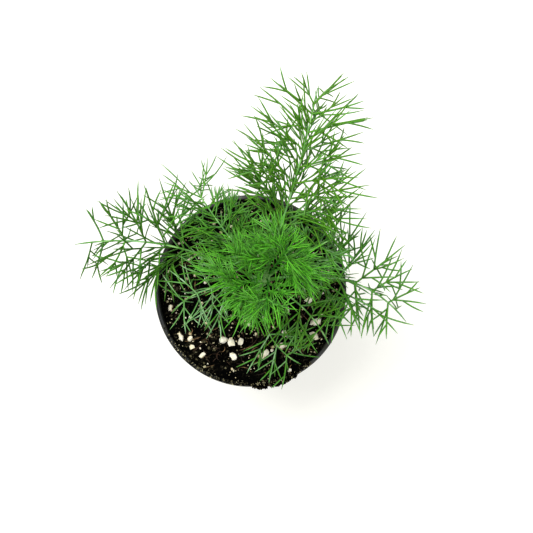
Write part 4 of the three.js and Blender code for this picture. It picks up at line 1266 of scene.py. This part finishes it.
# %% [markdown]
# ## The leaves
#
# Every stalk and thread becomes one tube. The main stalk follows its curve, and the rest keep their
# width almost to the end and then run out to a soft point, because a dill thread is a rolled leaf
# and not a thorn. Each bows by a few hundredths of its length, so none is ruler straight, and what
# grows on it moves with it at the root.

# %% Turn the growth into tubes
MAIN_STALK, MAIN_STEPS = 0.55, 22  # radius of a finished main stalk over that of the plain one
MAIN_END, MAIN_POINT = 0.985, 0.3  # share of its curve where it ends, and how far it narrows there
THIN_TO, THINNING = 0.6, (0.4, 0.9)  # how far it narrows before that, and between which shares
BOW_SEED = 500
OTHER_GREEN = 0.28  # share of the threads that wear a leaf's second green
LEAST_BOW, MORE_BOW = 0.01, 0.03  # over a thread's length
TIP_BACK = 0.3  # mm by which a thread ends short of the plain one
WIDTHS = [0, 0.6, 0.82, 0.94, 1], [1, 0.97, 0.84, 0.58, 0.2]  # along a thread, and over its width


def moved(stalk, share):
    """How far its own bow and its parent's move the point at a share of a stalk."""
    return stalk.lean * (1 - share) + stalk.bow * math.sin(math.pi * share)


def slender(stalk, radius, steps, random):
    """A side stalk or thread as a path: a soft point and a slight bow. Some wear the other green."""
    shares = np.linspace(0, 1, steps)
    bow = stalk.leaf.curl * stalk.length * (LEAST_BOW + MORE_BOW * next(random))
    turn = 2 * math.pi * next(random)
    stalk.bow = (stalk.side * math.cos(turn) + stalk.normal * math.sin(turn)) * bow
    place = stalk.place
    stalk.lean = moved(place.on, place.share) if place.on else np.zeros(3)
    full = 1 - TIP_BACK / stalk.length
    points = [bezier(stalk.corners, share * full) + moved(stalk, share) for share in shares]
    return points, radius * np.interp(shares, *WIDTHS), 1 + (next(random) < OTHER_GREEN)


def leaf_paths(leaf, number):
    """All tubes of one leaf: 0 is the material of the main stalk, 1 and 2 those of the threads."""
    random = draws(BOW_SEED + number)
    shares = [MAIN_END * i / MAIN_STEPS for i in range(MAIN_STEPS + 1)]
    main = [bezier(leaf.corners, share) for share in shares]
    radii = [
        max(leaf.thread, MAIN_STALK * rachis_radius(leaf, share) * mix(1, THIN_TO, ease(share, *THINNING)))
        for share in shares]
    radii[-1] *= MAIN_POINT
    paths = [(main, radii, 0)]
    for stalks, width, steps in (  # width over that of a thread
            (pinnae, 1.15, 8), (pinnules, 1.05, 5),
            (threads + end_threads + tufts + more_pinnules, 1, 5), (fine_threads, 0.9, 5)):
        paths += [
            slender(stalk, leaf.thread * width, steps, random)
            for stalk in stalks if stalk.leaf is leaf]
    return paths


# %% [markdown]
# A dill thread is a rolled leaf with a smooth, faintly waxy skin. Light passes through it a little,
# so it glows where it is thin. It is palest where it leaves its stalk, and its tip darkens. One
# function makes every leaf's finish, because only the age of the leaf changes: young threads are
# vivid, old ones are a deep olive green, and a bluish wax dusts them in patches.


# %% The finish of the leaves
def dill_blade(name, deep, bright, tip, joint, bloom, waxiness):
    """Rolled dill leaf: greens that drift over some 5 mm, a bluish bloom in patches, and dark tips."""
    material, tree, shader, position = new_material(
        name, Roughness=0.5, Specular_IOR_Level=0.12, **FLESH)
    drift = add_node(
        tree, "TexNoise", {"Scale": wavelength(5), "Detail": 4, "Roughness": 0.65}, {"Vector": position})
    colour = add_node(tree, "ValToRGB", links={"Fac": drift}, stops=[(0.36, deep), (0.64, bright)])
    patches = add_node(
        tree, "TexNoise", {"Scale": wavelength(9), "Detail": 3, "Distortion": 0.4}, {"Vector": position})
    along = add_node(tree, "SeparateXYZ", links={"Vector": position.node.outputs["UV"]}).outputs["Y"]
    for layer, source, start, end, least, most in (
            (bloom, patches, 0.5, 0.7, 0, waxiness), (joint, along, 0, 0.16, 0.7, 0),
            (tip, along, 0.7, 1, 0, 0.8)):
        cover = add_node(
            tree, "MapRange", {"From Min": start, "From Max": end, "To Min": least, "To Max": most},
            {"Value": source})
        colour = add_node(
            tree, "Mix", {"B": linear(layer)}, {"Factor": cover, "A": colour}, data_type="RGBA")
    finish_skin(tree, shader, position, colour, size=0.6, detail=2, strength=0.25, depth=0.06)
    return material


# %% The greens of the leaves
stalk_skin = ribbed_stalk("dill_leaf_stalk", "#548c38", "#86b86a", 6, "#9ccb9c")
young_skin = ribbed_stalk("dill_young_stalk", "#236a0c", "#3f8a22", 6, "#5ba048")
GREENS = {  # deep and bright body, tip, joint and bloom, and how waxy it is
    "old": ("#214f03", "#36700c", "#1b390b", "#598a31", "#5f9668", 0.25),
    "outer": ("#32720a", "#49931a", "#27540e", "#78aa46", "#72ab78", 0.35),
    "grown": ("#2b6808", "#479020", "#1f4a0e", "#6ea548", "#80b07c", 0.45),
    "waxy": ("#2a6613", "#4f8f38", "#295c18", "#9cc689", "#b4d5ae", 0.75),
    "top": ("#2f6604", "#46850e", "#2c5c08", "#7aa942", "#74a97c", 0.35),
    "young": ("#1c6c02", "#55b71b", "#227406", "#84cb50", "#8fd072", 0.35),
}
blades = {name: dill_blade(f"dill_{name}_blade", *greens) for name, greens in GREENS.items()}
WORN = {  # each leaf's first and second green
    "leaf_front_low": "grown waxy", "leaf_left": "old outer", "leaf_right": "outer grown",
    "leaf_front_left": "waxy grown", "leaf_front_right": "top grown", "leaf_back_left": "grown outer",
    "leaf_back": "top outer", "leaf_back_right": "grown waxy", "leaf_young_left": "young grown",
    "leaf_young_front": "young grown", "leaf_young_back": "young grown",
}
print(len(blades), "greens")

# %% Make the leaves
for number, leaf in enumerate(LEAVES):
    skins = [young_skin if leaf.whorl else stalk_skin]
    skins += [blades[green] for green in WORN[leaf.name].split()]
    blade = tubes(leaf.name, leaf_paths(leaf, number), skins)
    hand_in(blade, "dill_" + leaf.name, "dill_young_leaf" if leaf.whorl else "dill_leaf", leaf.name)
